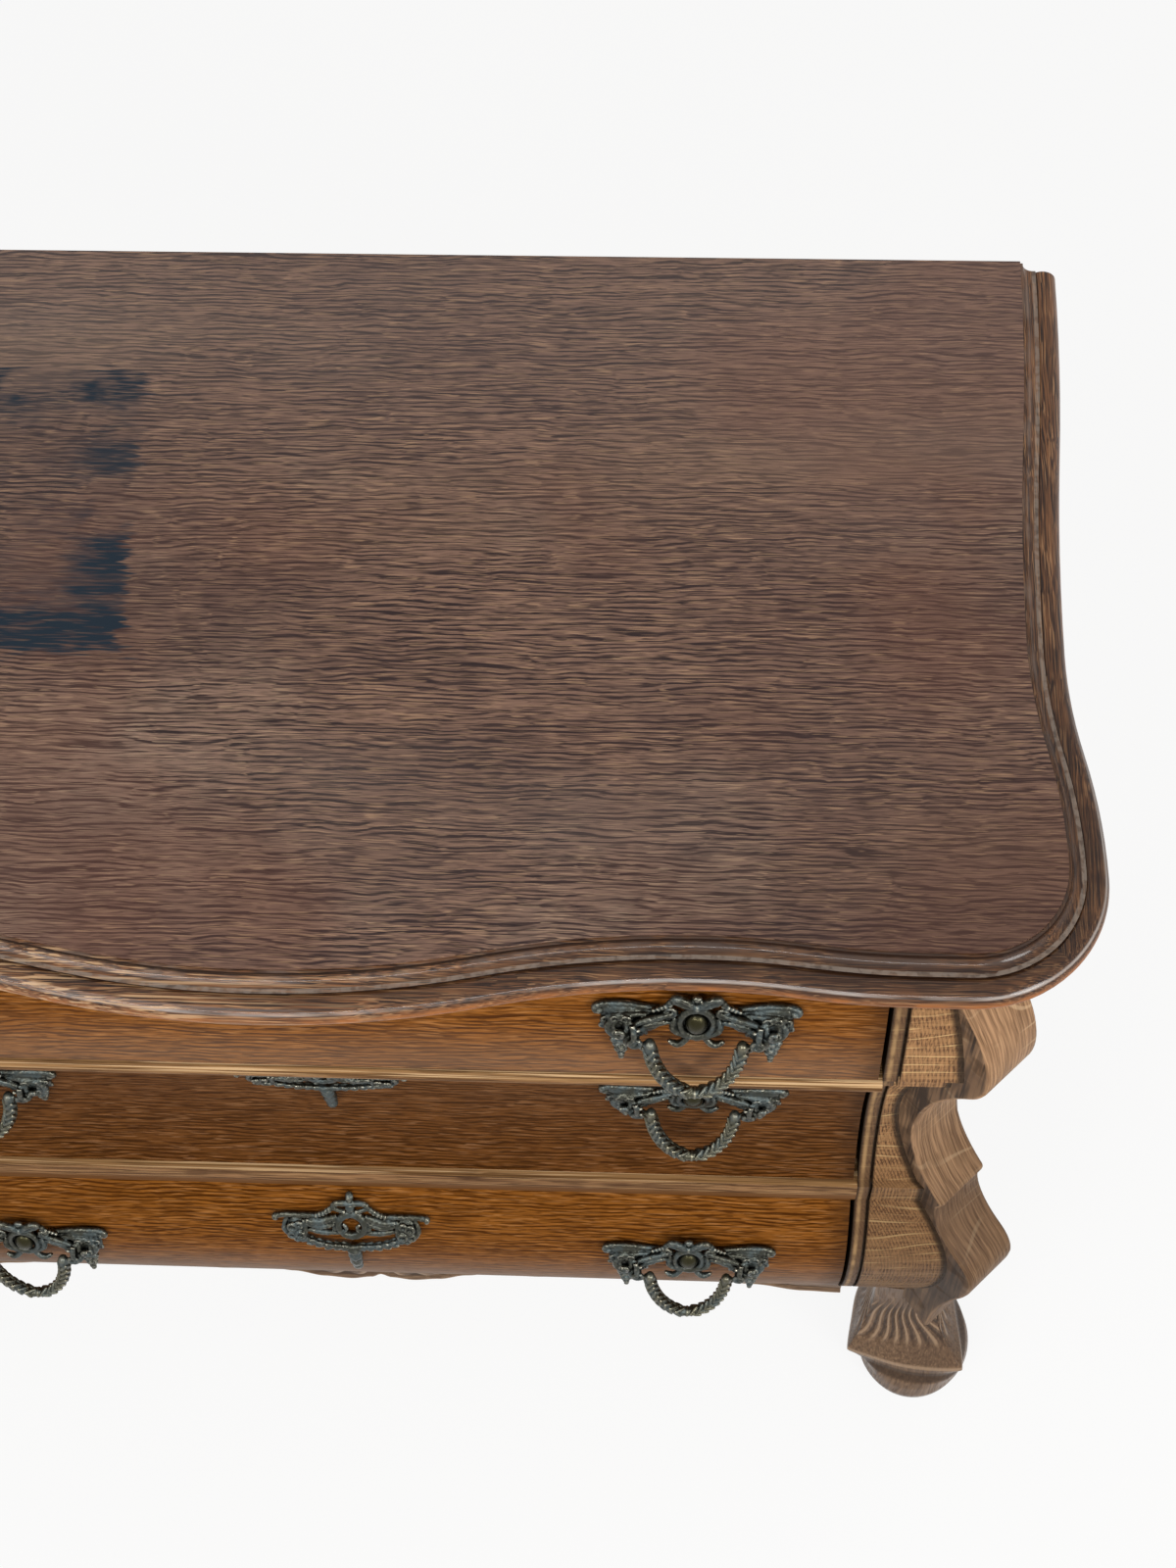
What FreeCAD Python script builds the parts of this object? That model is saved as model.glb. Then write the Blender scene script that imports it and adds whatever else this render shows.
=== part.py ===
import FreeCAD, Part
import math
import os
import Sketcher
from FreeCAD import Placement, Rotation, Vector

doc = FreeCAD.newDocument("bombe_chest")
sheet = doc.addObject("Spreadsheet::Sheet", "sheet")

# Driving sizes in millimetres and degrees. Offsets named for the front are measured
# backwards from the face plane, and those called reach or tuck stand ahead of it.
sizes = {
    # Heights, from the floor up
    "foot_height": 195,
    "base_rail_height": 20,
    "bottom_opening": 181,
    "rail_lower_height": 28,
    "middle_opening": 193,
    "rail_upper_height": 24,
    "top_opening": 169,
    "top_rail_height": 22,
    "top_thickness": 28,
    # Plan of the carcase
    "corner_x": 466,
    "post_half_width": 23.5,
    "front_margin": 89,
    "side_depth": 56,
    "face_setback": 52,
    "top_half_depth": 278.5,
    "back_inset": 10,
    "back_thickness": 8,
    # Upright curve of the front
    "top_lip": 38,
    "top_bow": 5,
    "upper_nose": 3,
    "rail_nose_setback": 2,
    "rail_nose_bow": 4,
    "rail_nose_height": 11,
    "rail_upper_strip": 9,
    "middle_top": 14,
    "middle_hollow": 20,
    "middle_bottom": 12,
    "rail_lower_face": 7,
    "rail_lower_bow": 2,
    "bottom_lip": 8,
    "belly_reach": 20,
    "belly_rise": 95,
    "bottom_tuck": 3,
    "base_setback": 10,
    "rail_depth": 95,
    "stile_depth": 50,
    "bead_width": 9,
    "bead_groove": 2,
    "bead_groove_depth": 4,
    "stile_step": 1,
    # Scroll of the corner posts, along the diagonal from the corner line and up from the feet
    "post_depth": 90,
    "post_top": 62,
    "post_neck_drop": 32,
    "post_upper": 10.5,
    "post_upper_rise": 463,
    "post_upper_radius": 105,
    "post_hollow_radius": 225,
    "post_waist": 54.5,
    "post_waist_rise": 308,
    "post_step": 15.5,
    "post_step_rise": 224,
    "post_ledge": 3.5,
    "post_ledge_rise": 213,
    "post_lower": 28,
    "post_lower_rise": 125,
    "post_lower_radius": 36,
    "post_tail_hollow": 418,
    "post_tail": 4,
    "post_tail_drop": 36,
    "post_heel_rise": 24,
    # Smooth curve of the side panels, inwards from the corner line and up from the feet
    "side_top": 38,
    "side_upper": 3,
    "side_upper_rise": 460,
    "side_waist": 33,
    "side_waist_rise": 315,
    "side_belly": 2,
    "side_belly_rise": 115,
    "side_bottom": 22,
    "side_upper_radius": 195,
    "side_waist_radius": 330,
    # Top panel outline and its edge moulding
    "top_bulge": 28,
    "crest_x": 255,
    "ear_flat": 29,
    "ear_front": 7.5,
    "ear_overhang": 1,
    "ear_radius": 57,
    "top_waist_inset": 15.5,
    "top_waist_y": 257,
    "top_back_inset": 4,
    "moulding_run": 26,
    "moulding_quirk": 2,
    "moulding_cove": 8,
    "moulding_fillet": 1.5,
    "moulding_nose": 17,
    "moulding_tuck": 7.5,
    # Apron
    "apron_tenon": 7,
    "apron_thickness": 20,
    "apron_crest_x": 205,
    "apron_crest_drop": 15,
    "apron_low_drop": 47,
    "apron_end": 30,
    "apron_radius": 300,
    "apron_end_radius": 180,
    # Drawers
    "drawer_side_gap": 3,
    "drawer_gap": 2,
    "drawer_run_gap": 0.3,
    "drawer_back_gap": 21,
    "drawer_wall": 12,
    "drawer_side_inset": 1,
    "drawer_side_drop": 38,
    "drawer_back_drop": 14,
    "drawer_panel": 6,
    "drawer_panel_rise": 10,
    "drawer_groove": 5,
    "drawer_groove_play": 0.3,
    "top_front_inner": 66,
    "middle_front_inner": 58,
    "bottom_front_inner": 46,
    # Runners, kickers and stops
    "runner_ledge": 58,
    "runner_thickness": 18,
    "guide_height": 25,
    "guide_play": 1,
    "back_post_width": 28,
    "back_post_depth": 40,
    "board_thickness": 18,
    "stop_x": 190,
    "stop_width": 30,
    "stop_depth": 24,
    "stop_height": 6,
    "stop_play": 0.5,
    # Locks
    "lock_half_width": 30,
    "lock_height": 56,
    "lock_thickness": 14,
    "lock_play": 0.3,
    "bolt_half_width": 12,
    "bolt_thickness": 7,
    "bolt_height": 24,
    "bolt_play": 0.4,
    "bolt_inset": 1.2,
    "mortise_depth": 11,
    "mortise_play": 1,
    "keyhole_bore": 7,
    "top_key_drop": 40,
    "middle_key_drop": 46,
    "bottom_key_drop": 32,
    # Handles
    "handle_inset": 122,
    "top_handle_rise": 76,
    "middle_handle_rise": 119,
    "bottom_handle_rise": 120,
    "plate_half_width": 65,
    "plate_half_height": 21,
    "plate_thickness": 3,
    "plate_seat": 10,
    "rosette_radius": 16,
    "rosette_height": 9,
    "head_x": 46.5,
    "head_radius": 13,
    "head_height": 21,
    "pivot_drop": 9,
    "pivot_stand": 15,
    "bail_half_width": 29,
    "bail_drop": 53,
    "bail_rod": 8,
    "bail_pin": 4,
    "bail_pin_reach": 40,
    "pin_play": 0.25,
    "bail_lean": 12,
    "lug_drop": 17,
    "lug_radius": 4,
    "lug_play": 0.3,
    "screw_x": 48,
    "screw_rise": 3,
    "screw_shank": 4,
    "screw_play": 0.3,
    "screw_bite": 9,
    "screw_head": 10,
    "screw_head_height": 4,
    # Escutcheons
    "escutcheon_half_width": 59,
    "escutcheon_core": 21,
    "escutcheon_wing_rise": 4,
    "escutcheon_wing_height": 15,
    "escutcheon_plate": 3,
    "escutcheon_ball": 7,
    "escutcheon_ball_rise": 22,
    "escutcheon_drop": 62,
    "escutcheon_drop_width": 15,
    # Feet
    "sole_offset": 12,
    "sole_reach": 61,
    "sole_width": 61,
    "sole_round": 39,
    "toe_height": 14,
    "toe_offset": 12,
    "toe_reach": 68,
    "toe_width": 68,
    "toe_round": 44,
    "rim_height": 60,
    "rim_offset": 33,
    "rim_reach": 84,
    "rim_width": 66,
    "rim_round": 12,
    "flare_height": 85,
    "flare_offset": 39,
    "flare_reach": 64,
    "flare_width": 61,
    "flare_round": 12,
    "ankle_height": 125,
    "ankle_offset": 46,
    "ankle_reach": 52,
    "ankle_width": 52,
    "ankle_round": 11,
    "crown_offset": 48,
    "crown_reach": 51,
    "crown_width": 51,
    "crown_round": 10,
    "rear_foot_width": 58,
    "rear_foot_depth": 70,
    "rear_foot_flare": 22,
    "rear_ankle_flare": 5.5,
    # How far the cutting shapes run past what they cut
    "cut_reach": 120,
}

# Places that follow from the sizes above
derived = {
    "opening_half_width": "corner_x - front_margin",
    "side_inner": "corner_x - side_depth",
    "apron_half_width": "opening_half_width + apron_tenon",
    "handle_x": "opening_half_width - handle_inset",
    "ear_x": "corner_x + ear_overhang",
    "ear_front_x": "ear_x - ear_radius - ear_flat",
    "top_waist_x": "corner_x - top_waist_inset",
    "top_back_x": "corner_x - top_back_inset",
}


def fill_sheet():
    for row, (alias, number) in enumerate(sizes.items(), start=1):
        sheet.set(f"A{row}", alias)
        sheet.set(f"B{row}", str(number))
        sheet.setAlias(f"B{row}", alias)
    doc.recompute()


def size(alias):
    return float(sheet.get(alias))


# A sum is written as words, such as "foot_height + base_rail_height - 3"
def amount(words):
    total = 0.0
    sign = 1
    for word in words.split():
        if word in ("+", "-"):
            sign = 1 if word == "+" else -1
        elif word in derived:
            total += sign * amount(derived[word])
        else:
            total += sign * (size(word) if word in sizes else float(word))
    return total


def term(word):
    if word in derived:
        return f"({formula(derived[word])})"
    return "sheet." + word if word in sizes else word


def formula(words):
    return " ".join(term(word) for word in words.split())


fill_sheet()

# Levels and planes that many pieces share
base_z = "foot_height + base_rail_height"
bottom_top_z = base_z + " + bottom_opening"
middle_z = bottom_top_z + " + rail_lower_height"
middle_top_z = middle_z + " + middle_opening"
upper_z = middle_top_z + " + rail_upper_height"
upper_top_z = upper_z + " + top_opening"
under_z = upper_top_z + " + top_rail_height"
face_y = "face_setback - top_half_depth"
back_y = "top_half_depth - back_inset"
panel_y = back_y + " - back_thickness"
rail_back_y = face_y + " + rail_depth"
belly_z = base_z + " + belly_rise"

drawers = {
    "top": (upper_z, "top_opening"),
    "middle": (middle_z, "middle_opening"),
    "bottom": (base_z, "bottom_opening"),
}


def box(label, x, y, z):
    piece = doc.addObject("Part::Box", label)
    piece.Label = label
    for name, axis, (low, extent) in (("Length", "x", x), ("Width", "y", y), ("Height", "z", z)):
        piece.setExpression(name, formula(extent))
        piece.setExpression("Placement.Base." + axis, formula(low))
    return piece


def mirrored(label, source):
    piece = doc.addObject("Part::Mirroring", label)
    piece.Label = label
    piece.Source = source
    piece.Normal = Vector(1, 0, 0)
    return piece


def cut(label, base, tool):
    piece = doc.addObject("Part::Cut", label)
    piece.Label = label
    piece.Base = base
    piece.Tool = tool
    return piece


def group(label, pieces):
    piece = doc.addObject("Part::Compound", label)
    piece.Label = label
    piece.Links = pieces
    return piece


def feature(label, shape):
    piece = doc.addObject("Part::Feature", label)
    piece.Label = label
    piece.Shape = shape
    return piece


# Sketch outlines: each corner is a pair of sums, each edge a line or a kind of arc
def arc_about(centre, start, end, left):
    radius = (start - centre).Length
    first, last = (start, end) if left else (end, start)
    angles = [math.atan2(p.y - centre.y, p.x - centre.x) for p in (first, last)]
    if angles[1] < angles[0]:
        angles[1] += 2 * math.pi
    return Part.ArcOfCircle(Part.Circle(centre, Vector(0, 0, 1), radius), angles[0], angles[1])


def turns_left(start, end, centre):
    return (end - start).cross(centre - start).z > 0


class Outline:
    def __init__(self, body, name, plane):
        self.sketch = body.newObject("Sketcher::SketchObject", name)
        support = next(p for p in body.Origin.OriginFeatures if p.Role == plane)
        self.sketch.AttachmentSupport = (support, [""])
        self.sketch.MapMode = "FlatFace"
        self.first = None
        self.last = None

    def hold(self, kind, *where, words=None):
        number = self.sketch.addConstraint(Sketcher.Constraint(kind, *where))
        if words:
            self.sketch.setExpression(f"Constraints[{number}]", words)

    def pin(self, spot, corner):
        for kind, words in zip(("DistanceX", "DistanceY"), corner):
            self.hold(kind, -1, 1, *spot, amount(words), words=formula(words))

    def join(self, spot):
        if self.last:
            self.hold("Coincident", *self.last, *spot)

    def line(self, start, end):
        edge = self.sketch.addGeometry(Part.LineSegment(start, end), False)
        return edge, 1, 2

    def arc(self, start, end, centre):
        left = turns_left(start, end, centre)
        edge = self.sketch.addGeometry(arc_about(centre, start, end, left), False)
        return (edge, 1, 2) if left else (edge, 2, 1)

    # An arc that leaves its far end, or its near end, straight along the given way
    def tangent_arc(self, start, end, way, near):
        edge = self.arc(start, end, tangent_centre(start, end, way, near))
        lined = "Horizontal" if way == "upright" else "Vertical"
        self.hold(lined, edge[0], 3, edge[0], edge[1] if near else edge[2])
        return edge

    def bow_arc(self, start, end, bow, corners):
        rise = amount(bow[0])
        along = end - start
        radius = along.Length ** 2 / (8 * rise) + rise / 2
        side = Vector(-along.y, along.x, 0).normalize() * bow[1]
        edge = self.arc(start, end, (start + end) * 0.5 + side * (radius - rise))
        spans = [f"({formula(b)} - ({formula(a)}))" for a, b in zip(*corners)]
        words = f"({spans[0]} ^ 2 + {spans[1]} ^ 2) / (8 * {formula(bow[0])}) + {formula(bow[0])} / 2"
        self.hold("Radius", edge[0], radius, words=words)
        return edge

    # Two arcs that meet smoothly on the chord, each straight along the way at its outer end
    def ess(self, start, end, radius, way):
        along = end - start
        across = abs(along.x if way == "upright" else along.y)
        share = amount(radius) * 2 * across / along.Length ** 2
        middle = start + along * share
        one = self.tangent_arc(start, middle, way, True)
        two = self.tangent_arc(middle, end, way, False)
        self.hold("Tangent", one[0], one[2], two[0], two[1])
        self.hold("Radius", one[0], amount(radius), words=formula(radius))
        return one, two

    def draw(self, corners, edges):
        points = [Vector(amount(a), amount(b), 0) for a, b in corners]
        for i, start in enumerate(points):
            after = (i + 1) % len(points)
            self.edge(edges.get(i, ("line",)), start, points[after], (corners[i], corners[after]))
        self.hold("Coincident", *self.last, *self.first)
        return self.sketch

    def edge(self, kind, start, end, corners):
        if kind[0] == "line":
            made = [self.line(start, end)]
        elif kind[0] == "bow":
            made = [self.bow_arc(start, end, kind[1:], corners)]
        elif kind[0] == "ess":
            made = self.ess(start, end, kind[1], kind[2])
        else:
            made = [self.tangent_arc(start, end, kind[1], kind[0] == "from")]
        begin = (made[0][0], made[0][1])
        self.join(begin)
        self.pin(begin, corners[0])
        self.first = self.first or begin
        self.last = (made[-1][0], made[-1][2])


def tangent_centre(start, end, way, near):
    point, other = (start, end) if near else (end, start)
    gap = other - point
    if way == "upright":
        return point + Vector(gap.Length ** 2 / (2 * gap.x), 0, 0)
    return point + Vector(0, gap.Length ** 2 / (2 * gap.y), 0)


def new_body(label):
    body = doc.addObject("PartDesign::Body", label)
    body.Label = label
    return body


def pad(body, name, sketch, length, symmetric=False, reverse=False):
    piece = body.newObject("PartDesign::Pad", name)
    piece.Profile = sketch
    piece.setExpression("Length", length)
    piece.SideType = "Symmetric" if symmetric else "One side"
    piece.Reversed = reverse
    return piece


def pocket_through(body, name, sketch):
    piece = body.newObject("PartDesign::Pocket", name)
    piece.Profile = sketch
    piece.Type = "ThroughAll"
    piece.SideType = "Symmetric"
    return piece


def front(words):
    return face_y + " " + words


# Pieces that run across the front: an upright section carried along X
def across(label, corners, edges, half_length):
    body = new_body(label)
    sketch = Outline(body, label + "_section", "YZ_Plane").draw(corners, edges)
    pad(body, label + "_pad", sketch, f"2 * ({formula(half_length)})", symmetric=True)
    return body


top_curve = ("bow", "top_bow", -1)
middle_curve = ("bow", "middle_hollow", 1)


def drawer_section(name, low, high):
    inner = front(f"+ {name}_front_inner")
    if name == "top":
        outer = [(front("+ upper_nose"), low), (front("+ top_lip"), high)]
        edges = {0: top_curve}
    elif name == "middle":
        outer = [(front("+ middle_bottom"), low), (front("+ middle_top"), high)]
        edges = {0: middle_curve}
    else:
        outer = [
            (front("- bottom_tuck"), low),
            (front("- belly_reach"), belly_z),
            (front("+ bottom_lip"), high),
        ]
        edges = {0: ("to", "upright"), 1: ("from", "upright")}
    return outer + [(inner, high), (inner, low)], edges


def rail_section(setback, low, high):
    return [
        (front(setback), low),
        (front(setback), high),
        (rail_back_y, high),
        (rail_back_y, low),
    ]


def make_rails():
    upper = [
        (front("+ rail_upper_strip"), middle_top_z),
        (front("+ rail_upper_strip"), upper_z + " - rail_nose_height"),
        (front("+ rail_nose_setback"), upper_z + " - rail_nose_height"),
        (front("+ rail_nose_setback"), upper_z),
        (rail_back_y, upper_z),
        (rail_back_y, middle_top_z),
    ]
    lower = rail_section("+ rail_lower_face", bottom_top_z, middle_z)
    top = rail_section("+ top_lip", upper_top_z, under_z)
    half = "opening_half_width"
    return {
        "top": across("top_rail_blank", top, {}, half),
        "middle": across("rail_upper_blank", upper, {2: ("bow", "rail_nose_bow", -1)}, half),
        "bottom": across("rail_lower_blank", lower, {0: ("bow", "rail_lower_bow", -1)}, half),
    }


def base_rail():
    section = rail_section("+ base_setback", "foot_height", base_z)
    return across("base_rail", section, {}, "opening_half_width")


# Section of the front at the stiles, moved back as a whole by the given words
def stile_corners(back=""):
    return [
        (front("+ base_setback" + back), "foot_height"),
        (front("- bottom_tuck" + back), base_z),
        (front("- belly_reach" + back), belly_z),
        (front("+ bottom_lip" + back), bottom_top_z),
        (front("+ rail_lower_face" + back), bottom_top_z + " + stile_step"),
        (front("+ rail_lower_face" + back), middle_z),
        (front("+ middle_bottom" + back), middle_z + " + stile_step"),
        (front("+ middle_top" + back), middle_top_z),
        (front("+ rail_upper_strip" + back), middle_top_z + " + stile_step"),
        (front("+ rail_upper_strip" + back), upper_z + " - stile_step"),
        (front("+ upper_nose" + back), upper_z),
        (front("+ top_lip" + back), upper_top_z),
        (front("+ top_lip" + back), under_z),
        (front("+ stile_depth"), under_z),
        (front("+ stile_depth"), "foot_height"),
    ]


def stile_layer(body, name, start, width, back=""):
    edges = {1: ("to", "upright"), 2: ("from", "upright"), 6: middle_curve, 10: top_curve}
    outline = Outline(body, name + "_section", "YZ_Plane")
    outline.sketch.setExpression("AttachmentOffset.Base.z", formula(start))
    pad(body, name, outline.draw(stile_corners(back), edges), formula(width))


# A bead beside the drawers, a narrow groove, then the strip that meets the post
def stile_right():
    body = new_body("stile_right")
    body.setExpression("Placement.Base.x", formula("opening_half_width"))
    stile_layer(body, "bead", "0", "bead_width")
    stile_layer(body, "groove", "bead_width", "bead_groove", " + bead_groove_depth")
    stile_layer(body, "strip", "bead_width + bead_groove", "cut_reach")
    trim_diagonal(body, "stile", "front_margin", face_y, "- post_half_width", "cut_reach")
    return body


# Takes away what lies between two planes parallel to the cheeks of the post
def trim_diagonal(body, name, corner_x, corner_y, near, far):
    outline = Outline(body, name + "_trim_plan", "XY_Plane")
    outline.sketch.AttachmentOffset = Placement(Vector(), Rotation(Vector(0, 0, 1), -45))
    outline.sketch.setExpression("AttachmentOffset.Base.x", formula(corner_x))
    outline.sketch.setExpression("AttachmentOffset.Base.y", formula(corner_y))
    ahead = "cut_reach + cut_reach"
    behind = "- cut_reach - cut_reach"
    corners = [(behind, near), (ahead, near), (ahead, far), (behind, far)]
    pocket_through(body, name + "_trim", outline.draw(corners, {}))


def side_panel_right():
    corners = [
        ("side_inner", "foot_height"),
        ("corner_x - side_bottom", "foot_height"),
        ("corner_x - side_belly", "foot_height + side_belly_rise"),
        ("corner_x - side_waist", "foot_height + side_waist_rise"),
        ("corner_x - side_upper", "foot_height + side_upper_rise"),
        ("corner_x - side_top", under_z),
        ("side_inner", under_z),
    ]
    edges = {
        1: ("to", "upright"),
        2: ("ess", "side_waist_radius", "upright"),
        3: ("ess", "side_upper_radius", "upright"),
        4: ("from", "upright"),
    }
    body = new_body("side_panel_right")
    body.setExpression("Placement.Base.y", formula(back_y))
    sketch = Outline(body, "side_section", "XZ_Plane").draw(corners, edges)
    pad(body, "side_pad", sketch, formula(back_y + " - face_setback + top_half_depth + cut_reach"))
    corner_y = "face_setback - top_half_depth - top_half_depth + back_inset"
    trim_diagonal(body, "side", "corner_x", corner_y, "- cut_reach - cut_reach", "post_half_width")
    return body


def post_right():
    corners = [
        ("- post_depth", under_z),
        ("- post_depth", "foot_height + post_heel_rise"),
        ("post_tail", "foot_height - post_tail_drop"),
        ("post_lower", "foot_height + post_lower_rise"),
        ("- post_step - post_ledge", "foot_height + post_ledge_rise"),
        ("- post_step", "foot_height + post_step_rise"),
        ("- post_waist", "foot_height + post_waist_rise"),
        ("- post_upper", "foot_height + post_upper_rise"),
        ("- post_top", under_z + " - post_neck_drop"),
        ("- post_top", under_z),
    ]
    edges = {
        2: ("ess", "post_tail_hollow", "upright"),
        3: ("ess", "post_lower_radius", "upright"),
        5: ("to", "upright"),
        6: ("ess", "post_hollow_radius", "upright"),
        7: ("ess", "post_upper_radius", "upright"),
    }
    body = new_body("post_right")
    body.Placement = Placement(Vector(), Rotation(Vector(0, 0, 1), -45))
    body.setExpression("Placement.Base.x", formula("corner_x"))
    body.setExpression("Placement.Base.y", formula(face_y))
    sketch = Outline(body, "post_scroll", "XZ_Plane").draw(corners, edges)
    pad(body, "post_pad", sketch, "2 * sheet.post_half_width", symmetric=True)
    return body


def front_apron():
    low = "foot_height - apron_low_drop"
    crest = "foot_height - apron_crest_drop"
    end = "apron_half_width - apron_end"
    corners = [
        ("- apron_half_width", "foot_height"),
        ("- apron_half_width", low),
        ("- apron_half_width + apron_end", low),
        ("- apron_crest_x", crest),
        ("0", low),
        ("apron_crest_x", crest),
        (end, low),
        ("apron_half_width", low),
        ("apron_half_width", "foot_height"),
    ]
    edges = {
        2: ("ess", "apron_end_radius", "level"),
        3: ("ess", "apron_radius", "level"),
        4: ("ess", "apron_radius", "level"),
        5: ("ess", "apron_end_radius", "level"),
    }
    body = new_body("front_apron")
    body.setExpression("Placement.Base.y", formula(front("+ base_setback + apron_thickness")))
    sketch = Outline(body, "apron_outline", "XZ_Plane").draw(corners, edges)
    pad(body, "apron_pad", sketch, formula("apron_thickness"))
    return body


# The serpentine top: half of its outline, from the front centre to the back corner
def arc_edge(start, end, centre):
    radius = (start - centre).Length
    middle = centre + ((start + end) * 0.5 - centre).normalize() * radius
    return Part.Arc(start, middle, end).toShape()


def ess_edges(start, end, way):
    middle = (start + end) * 0.5
    first = arc_edge(start, middle, tangent_centre(start, middle, way, True))
    second = arc_edge(middle, end, tangent_centre(middle, end, way, False))
    return [first, second]


def top_half_edges():
    front_edge = amount("moulding_run - top_half_depth")
    crest_y = front_edge + size("top_bulge")
    ear_y = crest_y - size("ear_front")
    radius = size("ear_radius")
    centre = Vector(amount("ear_x") - radius, ear_y + radius, 0)
    bulge = Vector(0, front_edge, 0)
    crest = Vector(size("crest_x"), crest_y, 0)
    ear = Vector(amount("ear_front_x"), ear_y, 0)
    turn = Vector(centre.x, ear_y, 0)
    mitre = centre + Vector(radius, -radius, 0) * math.sqrt(0.5)
    ear_side = Vector(amount("ear_x"), centre.y, 0)
    waist = Vector(amount("top_waist_x"), amount("top_waist_y - top_half_depth"), 0)
    back = Vector(amount("top_back_x"), size("top_half_depth"), 0)
    along_front = ess_edges(bulge, crest, "level") + ess_edges(crest, ear, "level")
    along_front += [Part.makeLine(ear, turn), arc_edge(turn, mitre, centre)]
    along_side = [arc_edge(mitre, ear_side, centre)]
    along_side += ess_edges(ear_side, waist, "upright") + ess_edges(waist, back, "upright")
    return along_front, along_side


def mirror_x(shape):
    return shape.mirror(Vector(), Vector(1, 0, 0))


def joined(edges):
    return Part.Wire(Part.__sortEdges__(edges))


def top_panel():
    along_front, along_side = top_half_edges()
    half = along_front + along_side
    back = Vector(amount("top_back_x"), size("top_half_depth"), 0)
    edges = half + [mirror_x(edge) for edge in half]
    edges.append(Part.makeLine(back, Vector(-back.x, back.y, 0)))
    face = Part.Face(joined(edges))
    face.translate(Vector(0, 0, amount(under_z)))
    return feature("top_panel", face.extrude(Vector(0, 0, size("top_thickness"))))


# Edge moulding: quirk, cove, fillet and a rounded nose, drawn in outward and upward steps
def moulding_profile(start, outward):
    cove_out = amount("moulding_quirk + moulding_cove")
    nose_out = cove_out + size("moulding_fillet")
    nose = size("moulding_nose")
    ledge = nose + size("moulding_fillet")
    high = amount("top_thickness - moulding_quirk")
    foot = Vector(0, 0, 0)
    head = Vector(0, high, 0)
    quirk = Vector(size("moulding_quirk"), high, 0)
    cove = Vector(cove_out, ledge, 0)
    fillet = Vector(nose_out, ledge, 0)
    nose_top = Vector(nose_out, nose, 0)
    nose_tip = Vector(size("moulding_run"), nose / 2, 0)
    nose_foot = Vector(amount("moulding_run - moulding_tuck"), 0, 0)
    wire = Part.Wire([
        Part.makeLine(foot, head),
        Part.makeLine(head, quirk),
        arc_edge(quirk, cove, tangent_centre(quirk, cove, "upright", True)),
        Part.makeLine(cove, fillet),
        Part.makeLine(fillet, nose_top),
        arc_edge(nose_top, nose_tip, tangent_centre(nose_top, nose_tip, "upright", False)),
        arc_edge(nose_tip, nose_foot, tangent_centre(nose_tip, nose_foot, "upright", True)),
        Part.makeLine(nose_foot, foot),
    ])
    upward = Vector(0, 0, 1)
    wire.Placement = Placement(start, Rotation(outward, upward, outward.cross(upward), "XYZ"))
    return wire


def moulding(label, edges, start, outward):
    path = joined(edges)
    path.translate(Vector(0, 0, amount(under_z)))
    start = Vector(start.x, start.y, amount(under_z))
    shell = Part.BRepOffsetAPI.MakePipeShell(path)
    shell.setBiNormalMode(Vector(0, 0, 1))
    shell.add(moulding_profile(start, outward))
    shell.build()
    shell.makeSolid()
    return feature(label, shell.shape())


def make_mouldings():
    along_front, along_side = top_half_edges()
    back = Vector(amount("top_back_x"), size("top_half_depth"), 0)
    mitre = along_side[0].Vertexes[0].Point
    diagonal = Vector(-1, -1, 0).normalize()
    whole_front = [mirror_x(edge) for edge in along_front] + along_front
    left_mitre = Vector(-mitre.x, mitre.y, 0)
    right = moulding("top_moulding_right", along_side, back, Vector(1, 0, 0))
    return [
        moulding("top_moulding_front", whole_front, left_mitre, diagonal),
        right,
        mirrored("top_moulding_left", right),
    ]


# Feet: lofts through ellipses, set on the diagonal at the front
# A closed line through the corners, each corner rounded
def rounded(corners, radius):
    bends = []
    for i, corner in enumerate(corners):
        before = (corners[i - 1] - corner).normalize()
        after = (corners[(i + 1) % len(corners)] - corner).normalize()
        half = before.getAngle(after) / 2
        middle = (before + after).normalize()
        run = radius / math.tan(half)
        top = corner + middle * (radius / math.sin(half) - radius)
        bends.append((corner + before * run, top, corner + after * run))
    edges = []
    for i, (start, top, end) in enumerate(bends):
        edges.append(Part.Arc(start, top, end).toShape())
        edges.append(Part.makeLine(end, bends[(i + 1) % len(bends)][0]))
    return Part.Wire(edges)


# Plan of a front foot at one level: a kite whose long corner points out along the diagonal
def foot_ring(name, height):
    reach, width = size(name + "_reach"), size(name + "_width")
    middle = Vector(-size(name + "_offset"), 0, 0)
    corners = [
        middle + Vector(reach, 0, 0),
        middle + Vector(0, width, 0),
        middle - Vector(width, 0, 0),
        middle - Vector(0, width, 0),
    ]
    inside = width * min(reach, width) / math.hypot(reach, width)
    ring = rounded(corners, min(size(name + "_round"), inside * 0.94))
    corner = Vector(size("corner_x"), amount(face_y), amount(height))
    ring.Placement = Placement(corner, Rotation(Vector(0, 0, 1), -45))
    return ring


def front_foot_right(post):
    rings = [
        foot_ring("sole", "0"),
        foot_ring("toe", "toe_height"),
        foot_ring("rim", "rim_height"),
        foot_ring("flare", "flare_height"),
        foot_ring("ankle", "ankle_height"),
        foot_ring("crown", "foot_height"),
    ]
    blank = feature("front_foot_blank", Part.makeLoft(rings, True, True))
    return cut("front_foot_right", blank, post)


def rear_foot_ring(flare, height):
    inner = amount("side_inner") + flare
    outer = inner + size("rear_foot_width")
    back = amount(back_y)
    ahead = back - size("rear_foot_depth") - flare
    spots = [Vector(inner, ahead, height), Vector(outer, ahead, height)]
    spots += [Vector(outer, back, height), Vector(inner, back, height)]
    return Part.makePolygon(spots + spots[:1])


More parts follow.
